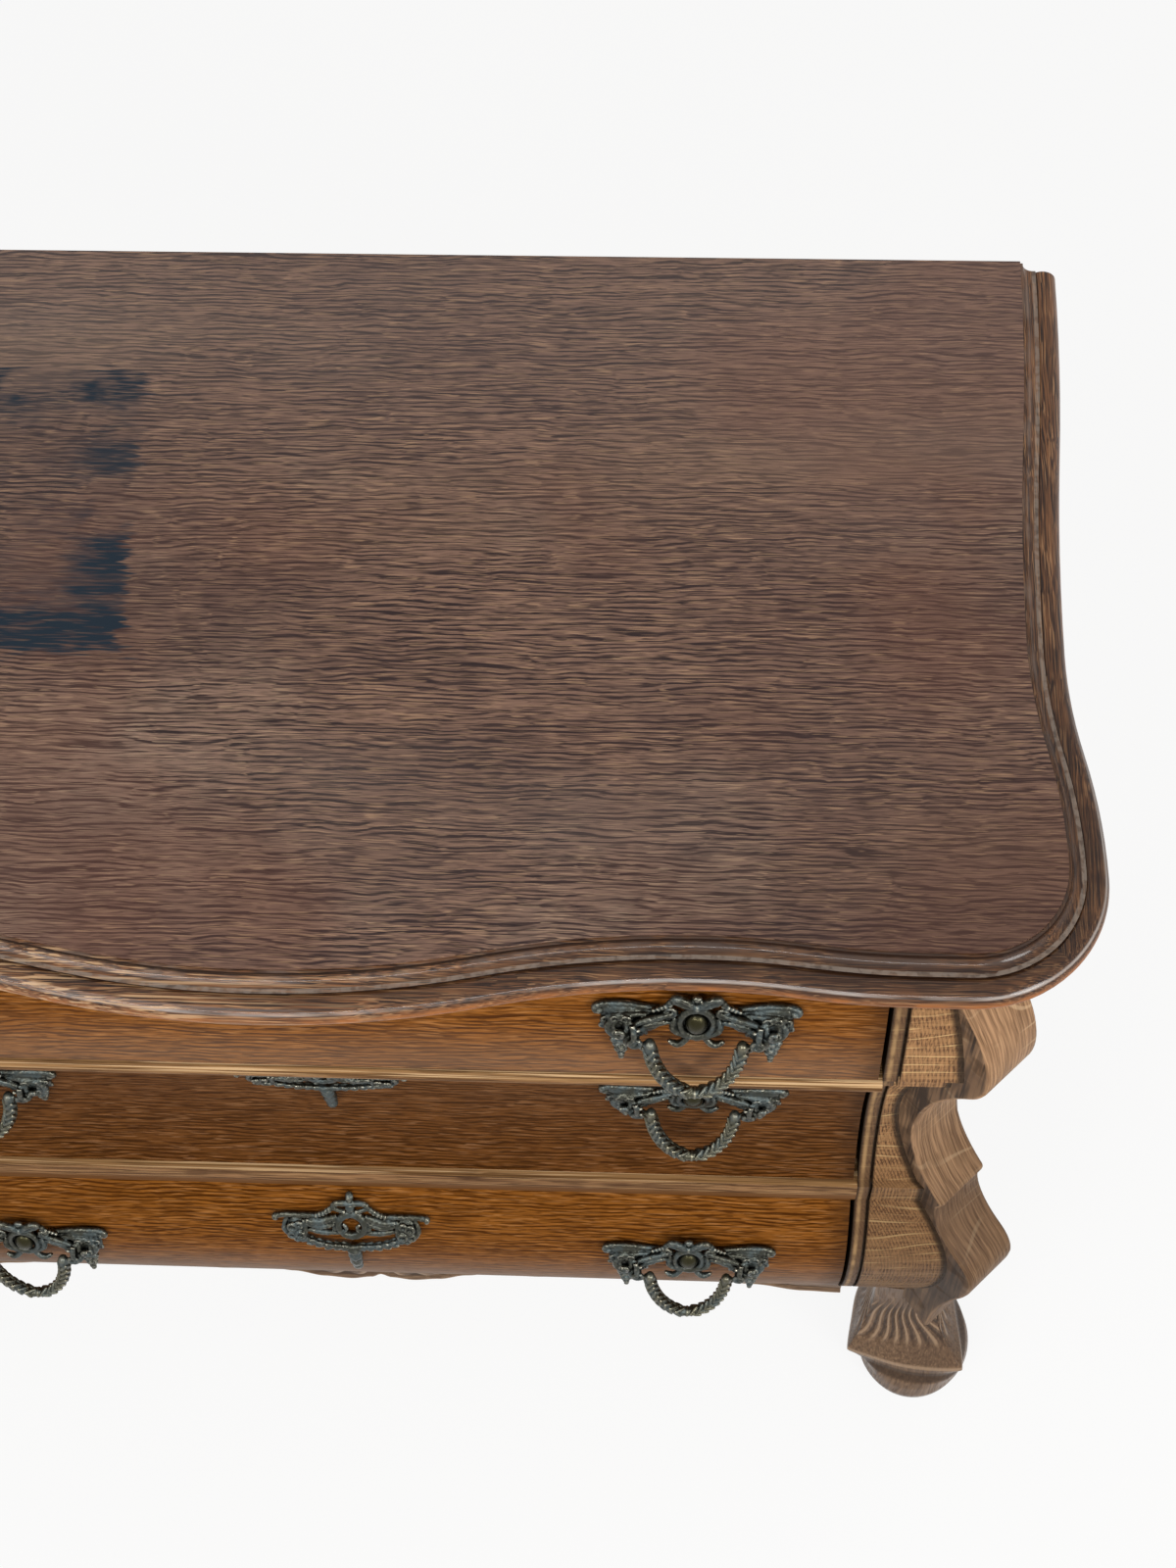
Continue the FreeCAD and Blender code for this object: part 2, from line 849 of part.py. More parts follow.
def rear_feet():
    flare = size("rear_foot_flare")
    rings = [
        rear_foot_ring(flare, 0),
        rear_foot_ring(size("rear_ankle_flare"), size("ankle_height")),
        rear_foot_ring(0, size("foot_height")),
    ]
    right = feature("rear_foot_right", Part.makeLoft(rings, True, False))
    return group("rear_feet", [right, mirrored("rear_foot_left", right)])


# Inside of the carcase
def make_inside():
    width = ("- side_inner", "side_inner + side_inner")
    depth = panel_y + " - face_setback + top_half_depth - rail_depth"
    height = under_z + " - foot_height"
    box("back_panel", width, (panel_y, "back_thickness"), ("foot_height", height))
    box("bottom_board", width, (rail_back_y, depth), (base_z + " - board_thickness", "board_thickness"))
    post_x = ("side_inner - back_post_width", "back_post_width")
    post_y = (panel_y + " - back_post_depth", "back_post_depth")
    post = box("back_post_right", post_x, post_y, (base_z, height + " - base_rail_height"))
    group("back_posts", [post, mirrored("back_post_left", post)])
    run = depth + " - back_post_depth"
    ledge = ("side_inner - runner_ledge", "runner_ledge")
    kicker = box("kicker_right", ledge, (rail_back_y, run), (upper_top_z, "top_rail_height"))
    group("kickers", [kicker, mirrored("kicker_left", kicker)])
    make_runners(run)
    make_stops()


def make_runners(run):
    guide = "opening_half_width - drawer_side_gap - drawer_side_inset + guide_play"
    pieces = []
    for name, (low, opening) in drawers.items():
        corners = [
            ("side_inner - runner_ledge", low + " - runner_thickness"),
            ("side_inner", low + " - runner_thickness"),
            ("side_inner", low + " + guide_height"),
            (guide, low + " + guide_height"),
            (guide, low),
            ("side_inner - runner_ledge", low),
        ]
        if name == "bottom":
            corners = [("side_inner", low)] + corners[2:5]
        body = new_body(f"runner_{name}_right")
        body.setExpression("Placement.Base.y", formula(rail_back_y + " + " + run))
        sketch = Outline(body, f"runner_{name}_section", "XZ_Plane").draw(corners, {})
        pad(body, f"runner_{name}_pad", sketch, formula(run))
        pieces += [body, mirrored(f"runner_{name}_left", body)]
    group("drawer_runners", pieces)


def make_stops():
    pieces = []
    for name, (low, opening) in drawers.items():
        start = front(f"+ {name}_front_inner + stop_play")
        place = (("stop_x", "stop_width"), (start, "stop_depth"), (low, "stop_height"))
        stop = box(f"stop_{name}_right", *place)
        pieces += [stop, mirrored(f"stop_{name}_left", stop)]
    group("drawer_stops", pieces)


# Round bars for bores and shanks, along Y from a given place
def bar_y(label, radius, x, y, z):
    bar = doc.addObject("Part::Cylinder", label)
    bar.Placement = Placement(Vector(), Rotation(Vector(1, 0, 0), -90))
    bar.setExpression("Radius", radius)
    bar.setExpression("Height", formula(y[1]))
    for axis, words in zip("xyz", (x, y[0], z)):
        bar.setExpression("Placement.Base." + axis, formula(words))
    return bar


def fused(label, pieces):
    piece = doc.addObject("Part::MultiFuse", label)
    piece.Label = label
    piece.Shapes = pieces
    return piece


screw_places = [f"{side} handle_x {way} screw_x" for side in "+-" for way in "+-"]


class Drawer:
    def __init__(self, name, rail):
        low, opening = drawers[name]
        self.name = name
        self.low = low
        self.top = f"{low} + {opening} - drawer_gap"
        self.inner = front(f"+ {name}_front_inner")
        self.key_z = f"{low} + {opening} - {name}_key_drop"
        self.handle_z = f"{low} + {name}_handle_rise"
        self.rail = rail

    def label(self, piece):
        return f"drawer_{self.name}_{piece}"

    def make_front(self):
        low = self.low + " + drawer_gap"
        corners, edges = drawer_section(self.name, low, self.top)
        half = "opening_half_width - drawer_side_gap"
        self.blank = across(self.label("blank"), corners, edges, half)
        depth = f"cut_reach + {self.name}_front_inner"
        start = front("- cut_reach")
        pocket = box(
            self.label("lock_pocket"),
            ("- lock_half_width", "lock_half_width + lock_half_width"),
            (self.inner + " - lock_thickness", "lock_thickness + lock_thickness"),
            (self.top + " - lock_height", "lock_height + lock_height"),
        )
        key_bore = "sheet.keyhole_bore / 2"
        tools = [pocket, bar_y(self.label("keyhole"), key_bore, "0", (start, depth), self.key_z)]
        bore = "sheet.screw_shank / 2 + sheet.screw_play"
        for number, place in enumerate(screw_places):
            label = self.label(f"screw_bore_{number}")
            tools.append(bar_y(label, bore, place, (start, depth), self.handle_z + " + screw_rise"))
        cut(self.label("front"), self.blank, fused(self.label("front_cuts"), tools))

    def make_box(self):
        outer = "opening_half_width - drawer_side_gap - drawer_side_inset"
        inner = outer + " - drawer_wall"
        low = self.low + " + drawer_run_gap"
        height = drawers[self.name][1] + " - drawer_side_drop"
        back_y = panel_y + " - drawer_back_gap"
        length = (self.inner, back_y + " " + minus(self.inner))
        side = box(self.label("side_blank"), (inner, "drawer_wall"), length, (low, height))
        panel_z = low + " + drawer_panel_rise"
        groove = box(
            self.label("side_groove"),
            (inner + " - drawer_groove", "drawer_groove + drawer_groove"),
            (front("- cut_reach"), "top_half_depth + top_half_depth + cut_reach"),
            (panel_z + " - drawer_groove_play", "drawer_panel + drawer_groove_play + drawer_groove_play"),
        )
        right = cut(self.label("side_right"), side, groove)
        mirrored(self.label("side_left"), right)
        edge = inner + " + drawer_groove - drawer_groove_play"
        wide = (minus(edge), edge + " + " + edge)
        box(self.label("bottom"), wide, length, (panel_z, "drawer_panel"))
        between = (minus(inner), inner + " + " + inner)
        back_z = panel_z + " + drawer_panel"
        back_height = height + " - drawer_panel_rise - drawer_panel - drawer_back_drop"
        back_wall = (back_y + " - drawer_wall", "drawer_wall")
        box(self.label("back"), between, back_wall, (back_z, back_height))

    def make_lock(self):
        half = "lock_half_width - lock_play"
        case_low = self.top + " - lock_height + lock_play"
        case = box(
            self.label("lock_blank"),
            (minus(half), half + " + " + half),
            (self.inner + " - lock_thickness + lock_play", "lock_thickness - lock_play"),
            (case_low, "lock_height - lock_play - lock_play"),
        )
        bolt_y = self.inner + " - bolt_thickness - bolt_inset"
        bolt_low = self.top + " - bolt_height - lock_play - bolt_play"
        slot_half = "bolt_half_width + bolt_play"
        slot = box(
            self.label("lock_slot"),
            (minus(slot_half), slot_half + " + " + slot_half),
            (bolt_y + " - bolt_play", "bolt_thickness + bolt_play + bolt_play"),
            (bolt_low + " - bolt_play", "bolt_height + bolt_height"),
        )
        start = front("- cut_reach")
        depth = f"cut_reach + {self.name}_front_inner + cut_reach"
        key = bar_y(self.label("lock_key"), "sheet.keyhole_bore / 2", "0", (start, depth), self.key_z)
        cut(self.label("lock"), case, fused(self.label("lock_cuts"), [slot, key]))
        bolt = ("- bolt_half_width", "bolt_half_width + bolt_half_width")
        box(self.label("bolt"), bolt, (bolt_y, "bolt_thickness"), (bolt_low, "bolt_height"))
        self.make_mortise(bolt_y)

    # The bolt rises into a mortise in the rail above
    def make_mortise(self, bolt_y):
        ceiling = self.low + " + " + drawers[self.name][1]
        half = "bolt_half_width + mortise_play"
        tool = box(
            self.label("mortise"),
            (minus(half), half + " + " + half),
            (bolt_y + " - mortise_play", "bolt_thickness + mortise_play + mortise_play"),
            (ceiling + " - mortise_depth", "mortise_depth + mortise_depth"),
        )
        cut({"top": "top_rail", "middle": "rail_upper", "bottom": "rail_lower"}[self.name], self.rail, tool)

    # Distance of the curved face along Y at a place on the front
    def face_at(self, x, z):
        start = Vector(x, amount(front("- cut_reach")), z)
        line = Part.makeLine(start, start + Vector(0, 2 * size("cut_reach"), 0))
        return min(vertex.Y for vertex in line.common(self.blank.Shape).Vertexes)

    # A sheet of even thickness that follows the curved face inside an outline
    def sheet_on_face(self, prism, thickness):
        skin = self.blank.Shape.copy()
        skin.translate(Vector(0, -thickness, 0))
        return prism.common(skin)

    def make_handles(self):
        plates = []
        for side, mark in (("left", -1), ("right", 1)):
            x = mark * amount("handle_x")
            plates.append(self.plate(x))
            bail = feature(f"bail_{self.name}_{side}", bail_shape())
            bail.Placement = Placement(self.pivot(x), Rotation(Vector(1, 0, 0), -size("bail_lean")))
        feature(f"handle_plates_{self.name}", Part.Compound(plates))
        self.make_screws()

    def pivot(self, x):
        z = amount(self.handle_z + " - pivot_drop")
        return Vector(x, self.face_at(x, z) - size("pivot_stand"), z)

    def plate(self, x):
        z = amount(self.handle_z)
        y = self.face_at(x, z)
        pivot = self.pivot(x)
        prism = ellipse_prism(Vector(x, 0, z), size("plate_half_width"), size("plate_half_height"))
        plate = self.sheet_on_face(prism, size("plate_thickness"))
        seat = size("plate_seat")
        height = size("rosette_height")
        plate = plate.fuse(round_bar(Vector(x, y + seat, z), size("rosette_radius"), height + seat))
        for mark in (-1, 1):
            head = pivot + Vector(mark * size("head_x"), size("pivot_stand") + seat, size("pivot_drop") / 2)
            plate = plate.fuse(round_bar(head, size("head_radius"), size("head_height") + seat))
            plate = plate.fuse(self.lug(pivot, mark))
        plate = plate.cut(self.blank.Shape)
        for mark in (-1, 1):
            plate = plate.cut(self.pin_bore(pivot, mark)).cut(self.screw_hole(x, mark))
        return plate.removeSplitter().Solids[0]

    # A lug behind each arm of the bail, where the hanging bail comes to rest
    def lug(self, pivot, mark):
        lean = math.radians(size("bail_lean"))
        drop = size("lug_drop")
        reach = (drop - size("lug_radius")) * math.tan(lean)
        reach -= size("bail_rod") / 2 / math.cos(lean) + size("lug_play")
        place = Vector(pivot.x + mark * size("bail_half_width"), 0, pivot.z - drop)
        place.y = self.face_at(place.x, place.z) + size("plate_seat")
        return round_bar(place, size("lug_radius"), place.y - pivot.y + reach)

    def pin_bore(self, pivot, mark):
        start = pivot + Vector(mark * size("bail_half_width"), 0, 0)
        length = amount("bail_pin_reach - bail_half_width + pin_play + pin_play")
        radius = size("bail_pin") / 2 + size("pin_play")
        return Part.makeCylinder(radius, length, start, Vector(mark, 0, 0))

    def screw_hole(self, x, mark):
        z = amount(self.handle_z + " + screw_rise")
        place = Vector(x + mark * size("screw_x"), 0, z)
        place.y = self.face_at(place.x, z) + size("plate_seat")
        radius = size("screw_shank") / 2 + size("screw_play")
        return round_bar(place, radius, amount("plate_seat + screw_bite + screw_play"))

    def make_screws(self):
        screws = []
        z = amount(self.handle_z + " + screw_rise")
        inner = amount(self.inner)
        for place in screw_places:
            x = amount(place)
            shank = inner - self.face_at(x, z) + size("screw_bite")
            screw = round_bar(Vector(x, inner, z), size("screw_shank") / 2, shank)
            head = Vector(x, inner + size("screw_head_height"), z)
            screw = screw.fuse(round_bar(head, size("screw_head") / 2, size("screw_head_height")))
            screws.append(screw.removeSplitter())
        feature(f"handle_screws_{self.name}", Part.Compound(screws))

    def make_escutcheon(self):
        z = amount(self.key_z)
        core = size("escutcheon_core")
        drop = size("escutcheon_drop") / 2
        wings = Vector(0, 0, z + size("escutcheon_wing_rise"))
        prism = ellipse_prism(wings, size("escutcheon_half_width"), size("escutcheon_wing_height"))
        prism = prism.fuse(ellipse_prism(Vector(0, 0, z), core, core))
        prism = prism.fuse(ellipse_prism(Vector(0, 0, z - drop), size("escutcheon_drop_width"), drop))
        plate = self.sheet_on_face(prism, size("escutcheon_plate"))
        ball = Vector(0, 0, z + size("escutcheon_ball_rise"))
        ball.y = self.face_at(0, ball.z)
        plate = plate.fuse(Part.makeSphere(size("escutcheon_ball"), ball)).cut(self.blank.Shape)
        start = Vector(0, amount(self.inner), z)
        plate = plate.cut(round_bar(start, size("keyhole_bore") / 2, 2 * size("cut_reach")))
        feature(f"escutcheon_{self.name}", plate.removeSplitter().Solids[0])


def minus(words):
    flipped = {"+": "-", "-": "+"}
    return "- " + " ".join(flipped.get(word, word) for word in words.split())


def round_bar(place, radius, length):
    return Part.makeCylinder(radius, length, place, Vector(0, -1, 0))


# An upright elliptical bar that passes through the whole front of the chest
def ellipse_prism(centre, half_width, half_height):
    stretch = FreeCAD.Matrix()
    stretch.scale(half_width, half_height, 1)
    ring = Part.Wire(Part.Circle().toShape()).transformGeometry(stretch)
    start = Vector(centre.x, amount(front("- cut_reach")), centre.z)
    ring.Placement = Placement(start, Rotation(Vector(1, 0, 0), 90))
    return Part.Face(ring).extrude(Vector(0, 2 * size("cut_reach"), 0))


def bail_shape():
    half = size("bail_half_width")
    drop = size("bail_drop")
    rod = size("bail_rod") / 2
    left, right = Vector(-half, 0, 0), Vector(half, 0, 0)
    oval = Part.Ellipse(Vector(0, 0, -drop), right, Vector(0, 0, 0))
    path = Part.Wire(Part.ArcOfEllipse(oval, -math.pi / 2, math.pi / 2).toShape())
    ring = Part.Wire(Part.Circle(left, Vector(0, 0, 1), rod).toShape())
    shape = path.makePipeShell([ring], True, False)
    for spot, mark in ((left, -1), (right, 1)):
        shape = shape.fuse(Part.makeSphere(rod, spot))
        length = size("bail_pin_reach") - half
        shape = shape.fuse(Part.makeCylinder(size("bail_pin") / 2, length, spot, Vector(mark, 0, 0)))
    return shape.removeSplitter()


def make_drawers(rails):
    for name in drawers:
        drawer = Drawer(name, rails[name])
        drawer.make_front()
        drawer.make_box()
        drawer.make_lock()
        doc.recompute()
        drawer.make_handles()
        drawer.make_escutcheon()


node_names = """
top_panel top_moulding_front top_moulding_left top_moulding_right
side_panel_left side_panel_right back_panel bottom_board back_posts
top_rail rail_upper rail_lower base_rail front_apron
stile_left stile_right post_left post_right
front_foot_left front_foot_right rear_feet
drawer_runners kickers drawer_stops
""".split()
for name in drawers:
    for piece in ("front", "side_left", "side_right", "back", "bottom", "lock", "bolt"):
        node_names.append(f"drawer_{name}_{piece}")
    node_names += [f"escutcheon_{name}", f"handle_plates_{name}", f"handle_screws_{name}"]
    node_names += [f"bail_{name}_left", f"bail_{name}_right"]


def check_and_export():
    doc.recompute()
    for piece in doc.Objects:
        if "Invalid" in piece.State or "Error" in piece.State:
            raise RuntimeError("broken: " + piece.Label)
    os.makedirs("parts", exist_ok=True)
    for name in node_names:
        piece = doc.getObjectsByLabel(name)[0]
        if piece.Shape.isNull() or not piece.Shape.isValid():
            raise RuntimeError("bad shape: " + name)
        piece.Shape.exportStep(f"parts/{name}.step")


def main():
    top_panel()
    make_mouldings()
    rails = make_rails()
    base_rail()
    front_apron()
    mirrored("stile_left", stile_right())
    mirrored("side_panel_left", side_panel_right())
    post = post_right()
    mirrored("post_left", post)
    doc.recompute()
    mirrored("front_foot_left", front_foot_right(post))
    rear_feet()
    make_inside()
    make_drawers(rails)
    check_and_export()


main()
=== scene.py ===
import math
import bpy
from mathutils import Matrix, Vector


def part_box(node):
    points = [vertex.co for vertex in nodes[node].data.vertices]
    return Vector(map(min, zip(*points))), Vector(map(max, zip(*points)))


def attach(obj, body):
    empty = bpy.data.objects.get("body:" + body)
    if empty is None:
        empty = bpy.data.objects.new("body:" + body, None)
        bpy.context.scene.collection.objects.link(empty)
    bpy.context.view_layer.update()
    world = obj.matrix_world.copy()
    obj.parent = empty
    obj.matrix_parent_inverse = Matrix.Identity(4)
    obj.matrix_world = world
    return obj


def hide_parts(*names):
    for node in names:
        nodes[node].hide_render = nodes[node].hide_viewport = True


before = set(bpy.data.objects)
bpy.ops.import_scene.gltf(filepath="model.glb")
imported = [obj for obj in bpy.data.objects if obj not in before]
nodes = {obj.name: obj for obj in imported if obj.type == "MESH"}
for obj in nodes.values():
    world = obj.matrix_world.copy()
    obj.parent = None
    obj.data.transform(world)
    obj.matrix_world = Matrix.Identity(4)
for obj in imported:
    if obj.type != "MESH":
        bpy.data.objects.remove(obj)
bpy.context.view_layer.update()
mm = 0.001
print("frame loaded with", len(nodes), "nodes")


class Socket:  # one shader socket, so that sums read as sums
    def __init__(self, tree, out):
        self.tree = tree
        self.out = out

    def node(self, kind, settings=None, values=None, output=0):
        made = self.tree.nodes.new(kind)
        for name, value in (settings or {}).items():
            setattr(made, name, value)
        for name, value in (values or {}).items():
            plug(self.tree, made.inputs[name], value)
        return Socket(self.tree, made.outputs[output]) if made.outputs else None

    def maths(self, operation, first, second=0.0):
        return self.node("ShaderNodeMath", {"operation": operation}, {0: first, 1: second})

    def __add__(self, other):
        return self.maths("ADD", self, other)

    def __sub__(self, other):
        return self.maths("SUBTRACT", self, other)

    def __rsub__(self, other):
        return self.maths("SUBTRACT", other, self)

    def __mul__(self, other):
        return self.maths("MULTIPLY", self, other)

    def __abs__(self):
        return self.maths("ABSOLUTE", self)

    __radd__ = __add__
    __rmul__ = __mul__

    def larger(self, other):
        return self.maths("MAXIMUM", self, other)

    def rise(self, low, high):  # 0 below low, 1 above high, smooth between
        values = {"Value": self, "From Min": low, "From Max": high}
        return self.node("ShaderNodeMapRange", {"interpolation_type": "SMOOTHSTEP"}, values)

    def over(self, under, paint, amount):  # paint laid over a colour
        return self.node("ShaderNodeMix", {"data_type": "RGBA"}, {0: amount, 6: under, 7: paint}, 2)


def plug(tree, socket, value):
    if isinstance(value, Socket):
        tree.links.new(value.out, socket)
    elif socket.type == "RGBA" and len(value) == 3:
        socket.default_value = (*value, 1)
    else:
        socket.default_value = value


def newLook(name):
    material = bpy.data.materials.new(name)
    material.use_nodes = True
    tree = material.node_tree
    tree.nodes.clear()
    coords = tree.nodes.new("ShaderNodeTexCoord")
    return material, Socket(tree, coords.outputs["Object"]), Socket(tree, coords.outputs["Normal"])


def closeLook(point, values):
    shader = point.node("ShaderNodeBsdfPrincipled", {}, values)
    point.node("ShaderNodeOutputMaterial", {}, {"Surface": shader})


def apart(vector):
    split = vector.node("ShaderNodeSeparateXYZ", {}, {0: vector})
    outs = split.out.node.outputs
    return [Socket(vector.tree, outs[i]) for i in range(3)]


def noise(point, scale, detail=2.0, shift=0.0, output=0):
    scales = scale if isinstance(scale, (tuple, list)) else (scale,) * 3
    moved = point.node("ShaderNodeMapping", {}, {"Vector": point, "Location": (shift,) * 3, "Scale": scales})
    values = {"Vector": moved, "Scale": 1.0, "Detail": detail, "Roughness": 0.55}
    return point.node("ShaderNodeTexNoise", {}, values, output)


def streaks(point, along, length, width, shift=0.0, detail=2.0):  # grain lines of that size in metres
    scales = [1 / (length if axis in along else width) for axis in "xyz"]
    return noise(point, scales, detail, shift)


def washes(point, tone, tones, amounts):  # each tone laid over the last, to its depth
    for name, amount in amounts.items():
        colour, depth = tones[name]
        tone = point.over(tone, colour, amount * depth)
    return tone


# Any oak, where a look below says nothing else: turn in degrees, sways in metres, the rest are shares
plainOak = {
    "turn": 0, "scale": (1, 1, 1), "wander": 0.006, "ripple": 0.0018, "bandDepth": 0.2, "blotch": 0.3,
    "poreDepth": 0.6, "fleckDepth": 0.4, "worn": 0.15, "wornScale": 9.0, "bump": 0.22, "shine": 0.3, "waxRough": 0.12,
}


def oak(name, finish, extra=None):
    look = {**plainOak, **finish}
    along, length, width = look["along"], look["length"], look["width"]
    material, place, facing = newLook(name)
    turned = {"Vector": place, "Rotation": (0, 0, math.radians(look["turn"])), "Scale": look["scale"]}
    point = place.node("ShaderNodeMapping", {}, turned)
    bent = point
    for scale, detail, shift, sway in ((7.0, 2.0, 3.1, look["wander"]), (45.0, 1.0, 6.4, look["ripple"])):
        values = {0: noise(point, scale, detail, shift, output=1), 1: (sway,) * 3, 2: bent}
        bent = point.node("ShaderNodeVectorMath", {"operation": "MULTIPLY_ADD"}, values)
    rings = streaks(bent, along, 0.35, 0.022, 1.7, 3.0)
    coarse = streaks(bent, along, length * 3.0, width * 3.5, 9.2, 1.0)
    lines = streaks(bent, along, length, width, 5.3, 1.0)
    if "bands" in look:  # growth rings cut at an even spacing
        sides = [side for axis, side in zip("xyz", apart(bent)) if axis not in along]
        far, near, sway = look["drift"]
        drift = streaks(bent, along, far, near, 17.0, 0.5) * sway
        cycle = (sum(sides) * (1 / look["bands"]) + drift) * math.tau
        fade = streaks(bent, along, length * 2, width * 7, 27.0, 1.0).rise(0.28, 0.56)
        lines = lines * 0.55 + 0.29 - point.maths("SINE", cycle).rise(-0.2, 1.0) * fade * look["bandDepth"]
    grain = (lines * 0.84 + coarse * 0.09 + rings * 0.07).rise(0.5 - look["spread"], 0.5 + look["spread"])
    pores = streaks(bent, along, length * 0.4, width * 0.7, 14.8, 0.5).rise(0.54, 0.66)
    flecks = streaks(bent, along, length * 0.7, width * 0.7, 21.4, 0.5).rise(0.58, 0.70)
    blotch = noise(point, 5.0, 3.0, 12.5).rise(0.35, 0.7)
    worn = noise(point, look["wornScale"], 4.0, 31.0).rise(0.50, 0.74) * flecks.larger(grain * 0.5)
    tone = point.over(look["dark"], look["light"], grain)
    tone = point.over(tone, look["shade"], blotch * look["blotch"])
    tone = point.over(tone, look["pore"], pores * look["poreDepth"])
    tone = point.over(tone, look["fleck"], flecks * look["fleckDepth"])
    tone = point.over(tone, look.get("wornTone", look["fleck"]), worn * look["worn"])
    rough = look["rough"] + pores * 0.12 + worn * 0.2
    if extra:
        tone = extra(place, facing, tone)
    height = (1.0 - pores) * 0.5 + grain * 0.5
    bump = point.node("ShaderNodeBump", {}, {"Strength": look["bump"], "Distance": 0.0005, "Height": height})
    closeLook(point, {
        "Base Color": tone, "Roughness": rough, "Normal": bump, "Specular IOR Level": look["shine"],
        "Coat Weight": apart(facing)[2].rise(-0.05, 0.40) * look["wax"] if "wax" in look else 0.0,
        "Coat Roughness": look["waxRough"],
    })
    return material


# Blue-black mark that a wet tray left on the top, at the left of the view
trayMark = {
    "centre": (-0.215, 0.067), "half": (0.109, 0.109), "tint": (0.008, 0.017, 0.028), "depth": 0.96,
    "blots": [(0.027, 0.020, 1.0), (0.104, 0.016, 0.80), (0.004, 0.006, 0.9)],
}
# Uneven colour of the old top, each with its depth; back is a painted greyish reflection toward the far edge
topTones = {
    "pale": ((0.230, 0.140, 0.090), 0.24), "dark": ((0.040, 0.022, 0.020), 0.30),
    "red": ((0.130, 0.052, 0.032), 0.30), "grey": ((0.190, 0.170, 0.150), 0.12),
    "back": ((0.210, 0.175, 0.165), 0.14), "corner": ((0.036, 0.018, 0.014), 0.45),
}


def trayStain(point, facing, tone):  # the top's cloudy colour, a painted greyish reflection toward the back, and the ragged square rim of the mark
    x, y = apart(point)[:2]
    bands = noise(point, (1.6, 10.0, 10.0), 2.0, 22.0)
    tone = washes(point, tone, topTones, {
        "pale": bands.rise(0.50, 0.68), "dark": 1.0 - bands.rise(0.32, 0.48),
        "red": noise(point, 3.4, 2.0, 40.0).rise(0.50, 0.66),
        "grey": noise(point, (2.0, 5.0, 5.0), 3.0, 51.0).rise(0.50, 0.70),
        # back: painted reflection, the top greyer toward its far edge
        "back": y.rise(0.02, 0.26), "corner": (1.0 - y.rise(-0.26, -0.02)) * x.rise(0.05, 0.45),
    })
    across = abs(x - trayMark["centre"][0] + y * 0.055) - trayMark["half"][0]
    deep = abs(y - trayMark["centre"][1]) - trayMark["half"][1]
    ragged = streaks(point, "x", 0.030, 0.0030, 1.3, 1.0) * 0.036 - 0.018
    edge = across.larger(deep) + ragged
    rim = edge.rise(-0.050, -0.020) * (1.0 - edge.rise(-0.003, 0.003))
    inner = 1.0 - edge.rise(-0.006, 0.002)
    patch = noise(point, (22.0, 38.0, 30.0), 3.0, 4.4).rise(0.42, 0.60)
    dashes = streaks(point, "x", 0.022, 0.0016, 7.7, 1.0).rise(0.36, 0.56)
    front = 1.0 - y.rise(-0.020, 0.008)
    back = y.rise(0.132, 0.156) * (patch * 0.55 + 0.30)
    mark = (patch * 0.40).larger(front).larger(back)
    for at, size, depth in trayMark["blots"]:
        mark = mark.larger((1.0 - abs(y - at).rise(size * 0.5, size * 1.2)) * depth)
    mark = rim * mark * (dashes * 0.45 + 0.55) + inner * (patch * 0.22 + 0.12) * (dashes * 0.6 + 0.4)
    mark = mark * (x.rise(-0.300, -0.262) * 0.75 + 0.25)
    return point.over(tone, trayMark["tint"], mark * trayMark["depth"])


topLook = {
    "along": "x", "light": (0.208, 0.120, 0.085), "dark": (0.025, 0.014, 0.014), "shade": (0.060, 0.034, 0.030),
    "pore": (0.014, 0.008, 0.008), "fleck": (0.42, 0.255, 0.150), "wornTone": (0.42, 0.36, 0.29), "fleckDepth": 0.5,
    "worn": 0.30, "wornScale": 4.0, "rough": 0.36, "ripple": 0.0022, "shine": 0.15,
    "length": 0.030, "width": 0.0010, "spread": 0.11, "bands": 0.0037, "drift": (0.055, 0.010, 2.6), "bandDepth": 0.22,
}
mouldingLook = {
    "along": "x", "light": (0.200, 0.085, 0.034), "dark": (0.016, 0.008, 0.006), "shade": (0.028, 0.012, 0.008),
    "pore": (0.008, 0.004, 0.003), "fleck": (0.46, 0.25, 0.12), "fleckDepth": 0.5, "worn": 0.3, "rough": 0.36,
    "shine": 0.08, "wax": 0.35, "waxRough": 0.10, "length": 0.060, "width": 0.0010, "spread": 0.17,
}
drawerLook = {
    "along": "x", "rough": 0.42, "shine": 0.02, "length": 0.026, "width": 0.0017, "spread": 0.125,
    "fleckDepth": 0.45, "bands": 0.0056, "drift": (0.045, 0.014, 2.4), "bandDepth": 0.24,
}
drawerLooks = {
    "top": {
        **drawerLook, "light": (0.222, 0.078, 0.012), "dark": (0.048, 0.013, 0.001), "shade": (0.11, 0.036, 0.005),
        "pore": (0.060, 0.018, 0.002), "fleck": (0.37, 0.165, 0.052),
    },
    "middle": {
        **drawerLook, "light": (0.116, 0.043, 0.010), "dark": (0.034, 0.011, 0.001), "shade": (0.062, 0.021, 0.005),
        "pore": (0.030, 0.010, 0.003), "fleck": (0.24, 0.115, 0.050),
    },
    "bottom": {
        **drawerLook, "light": (0.190, 0.067, 0.010), "dark": (0.046, 0.013, 0.001), "shade": (0.100, 0.034, 0.006),
        "pore": (0.048, 0.014, 0.002), "fleck": (0.33, 0.145, 0.044),
    },
}
railLook = {
    "along": "x", "light": (0.24, 0.125, 0.054), "dark": (0.075, 0.034, 0.013), "shade": (0.09, 0.042, 0.018),
    "pore": (0.030, 0.013, 0.006), "fleck": (0.40, 0.24, 0.11), "rough": 0.45, "worn": 0.3, "shine": 0.05,
    "length": 0.09, "width": 0.0019, "spread": 0.17,
}
